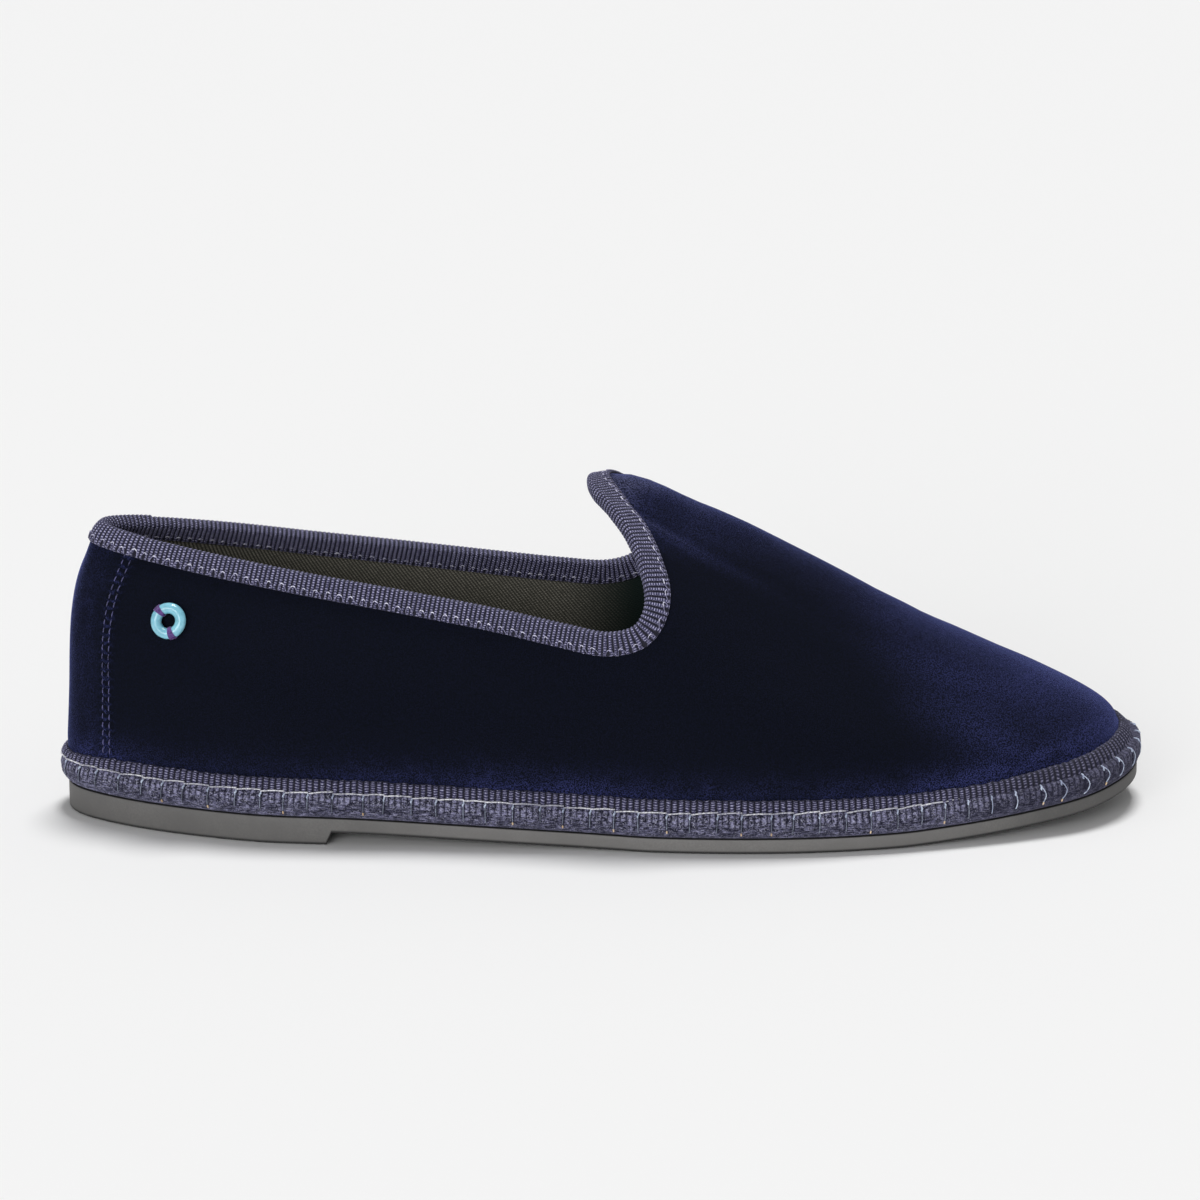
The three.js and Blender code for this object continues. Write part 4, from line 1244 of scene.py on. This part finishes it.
def makeBead():
    angle, bend = np.meshgrid(np.linspace(0, 2 * np.pi, 96, endpoint=False),
                              np.linspace(0, 2 * np.pi, 40, endpoint=False), indexing="ij")
    points = torusPoint(angle, bend, bead["tube"] + 0 * bend)
    uv = np.stack(np.meshgrid(np.linspace(0, 19, 97), np.linspace(0, 9, 41), indexing="ij"), -1)
    return ringPiece("glass_ring", points, uv)


def makeBeadThread():
    bends = np.linspace(0, 2 * np.pi, 25)[None]
    number = np.arange(bead["turns"]) - (bead["turns"] - 1) / 2
    step = bead["spacing"] / bead["ring"]
    starts = np.concatenate([math.radians(wrap) + number * step for wrap in bead["wraps"]])[:, None]
    angle = starts + 0.03 * np.sin(bends + starts * 3)
    tube = bead["tube"] + bead["threadRadius"] * 0.8 + 0 * angle
    paths = torusPoint(angle, bends + 0 * angle, tube)
    outs = unit(paths - torusPoint(angle, bends + 0 * angle, 0.2 * tube))
    return threadPiece("ring_thread", paths, outs, bead["threadRadius"] + 0 * angle)


def glassMaterial():
    material, tree, shader, coordinates = newMaterial("turquoise glass", {
        "Base Color": bead["glass"],
        "Roughness": 0.16,
        "Coat Weight": 0.5,
        "Coat Roughness": 0.06,
        "Subsurface Weight": 0.15,
        "Subsurface Radius": (0.0008, 0.001, 0.001),
    })
    cloud = noiseShare(tree, coordinates.outputs["Object"], 500.0, 2.0)
    light = tuple(min(value * 1.25 + 0.05, 1) for value in bead["glass"][:3])
    tree.links.new(mixColour(tree, between(tree, cloud, 0.35, 0.7), bead["glass"][:3], light), shader.inputs["Base Color"])
    return material


dress(makeVelvet(), velvetMaterial(), "upper")
print("velvet made")
liningCloth = twillMaterial("olive twill", lining["dark"], lining["light"], lining["pitch"], lining["slope"])
dress(makeLining(), liningCloth)
print("lining made")
dress(makeCollarRibbon(), grosgrainMaterial("collar ribbon", grosgrain, collarRibbon["ribPitch"], 0.5, 0.7), "collar_ribbon")
# The collar stitch is one thread in a lit copy on its caps and a shaded copy on its legs: painted highlight and
# painted shade
litCapThread = threadMaterial("pale thread", (0.85, 0.85, 0.98), (0.25, 0.24, 0.4))
shadedLoopThread = threadMaterial("violet thread", (0.3, 0.29, 0.46), (0.05, 0.048, 0.11))
for stitch, thread in zip(makeCollarStitches(), (litCapThread, shadedLoopThread)):
    dress(stitch, thread)
print("collar made")
dress(makeHemRibbon(), grosgrainMaterial("hem ribbon", grosgrain, hemRibbon["ribPitch"], 0.36, 2.2), "hem_ribbon")
dress(makeRoll(), rollMaterial(), "midsole")
print("sole edge made")
# The blanket stitch is one thread in lit and shaded copies: grey on the strand, slate on the legs along the sides,
# blue white on the knots and the legs round the toe: painted light and painted shade
greyThread = threadMaterial("grey thread", (0.85, 0.85, 0.9), (0.2, 0.2, 0.27))
shadedLegThread = threadMaterial("slate thread", (0.27, 0.3, 0.4), (0.04, 0.045, 0.075))
litBlanketThread = threadMaterial("blue white thread", (0.62, 0.7, 0.86), (0.2, 0.23, 0.36))
tackThread = threadMaterial("cream thread", (0.85, 0.66, 0.45), (0.5, 0.33, 0.18))
for stitch, thread in zip(makeBlanketStitch(), (greyThread, shadedLegThread, litBlanketThread, litBlanketThread, tackThread)):
    dress(stitch, thread)
seamThread = threadMaterial("navy thread", (0.12, 0.12, 0.32), (0.008, 0.008, 0.03))
dress(makeHeelStitches(), seamThread)
print("stitches made")
dress(makeOutsole(), rubberMaterial(), "outsole")
dress(makeInsole(), twillMaterial("insole cloth", lining["dark"], lining["light"], 1.0, 1.0), "insole")
dress(makeBead(), glassMaterial(), "ring_bead")
dress(makeBeadThread(), threadMaterial("purple thread", (0.16, 0.07, 0.3), (0.05, 0.02, 0.11)))
print("soles and ring made")

# A pale floor in a dim white room under broad suns, so that the floor is even all over: one sun above
# and a little behind the shoe, and one from the camera's side that shows what the camera sees
studio = {
    "floorSide": 12.0,
    "floorColour": (0.872, 0.872, 0.872, 1),
    "room": (1.0, 1.0, 1.0, 1),
    "roomStrength": 0.25,
    "suns": [
        {"name": "top", "from": (0.08, 0.24, 1.0), "spread": 18.0, "strength": 2.2},
        {"name": "front", "from": (-0.35, -0.9, 0.2), "spread": 40.0, "strength": 1.75},
    ],
}
half = studio["floorSide"] / 2
floorMesh = bpy.data.meshes.new("floor")
floorMesh.from_pydata([(-half, -half, 0), (half, -half, 0), (half, half, 0), (-half, half, 0)], [], [(0, 1, 2, 3)])
floor = bpy.data.objects.new("floor", floorMesh)
bpy.context.scene.collection.objects.link(floor)
floorMaterial, floorTree, floorShader, floorPlace = newMaterial("pale floor", {
    "Base Color": studio["floorColour"], "Roughness": 0.9, "Specular IOR Level": 0.1,
})
floorMesh.materials.append(floorMaterial)
room = bpy.data.worlds.new("room")
room.use_nodes = True
room.node_tree.nodes["Background"].inputs[0].default_value = studio["room"]
room.node_tree.nodes["Background"].inputs[1].default_value = studio["roomStrength"]
bpy.context.scene.world = room
for sun in studio["suns"]:
    sunData = bpy.data.lights.new(sun["name"], "SUN")
    sunData.energy = sun["strength"]
    sunData.angle = math.radians(sun["spread"])
    sunObject = bpy.data.objects.new(sun["name"], sunData)
    bpy.context.scene.collection.objects.link(sunObject)
    sunObject.location = sun["from"]
    sunObject.rotation_euler = (-Vector(sun["from"])).to_track_quat("-Z", "Y").to_euler()
bpy.context.scene.view_settings.view_transform = "Standard"
print("studio set")
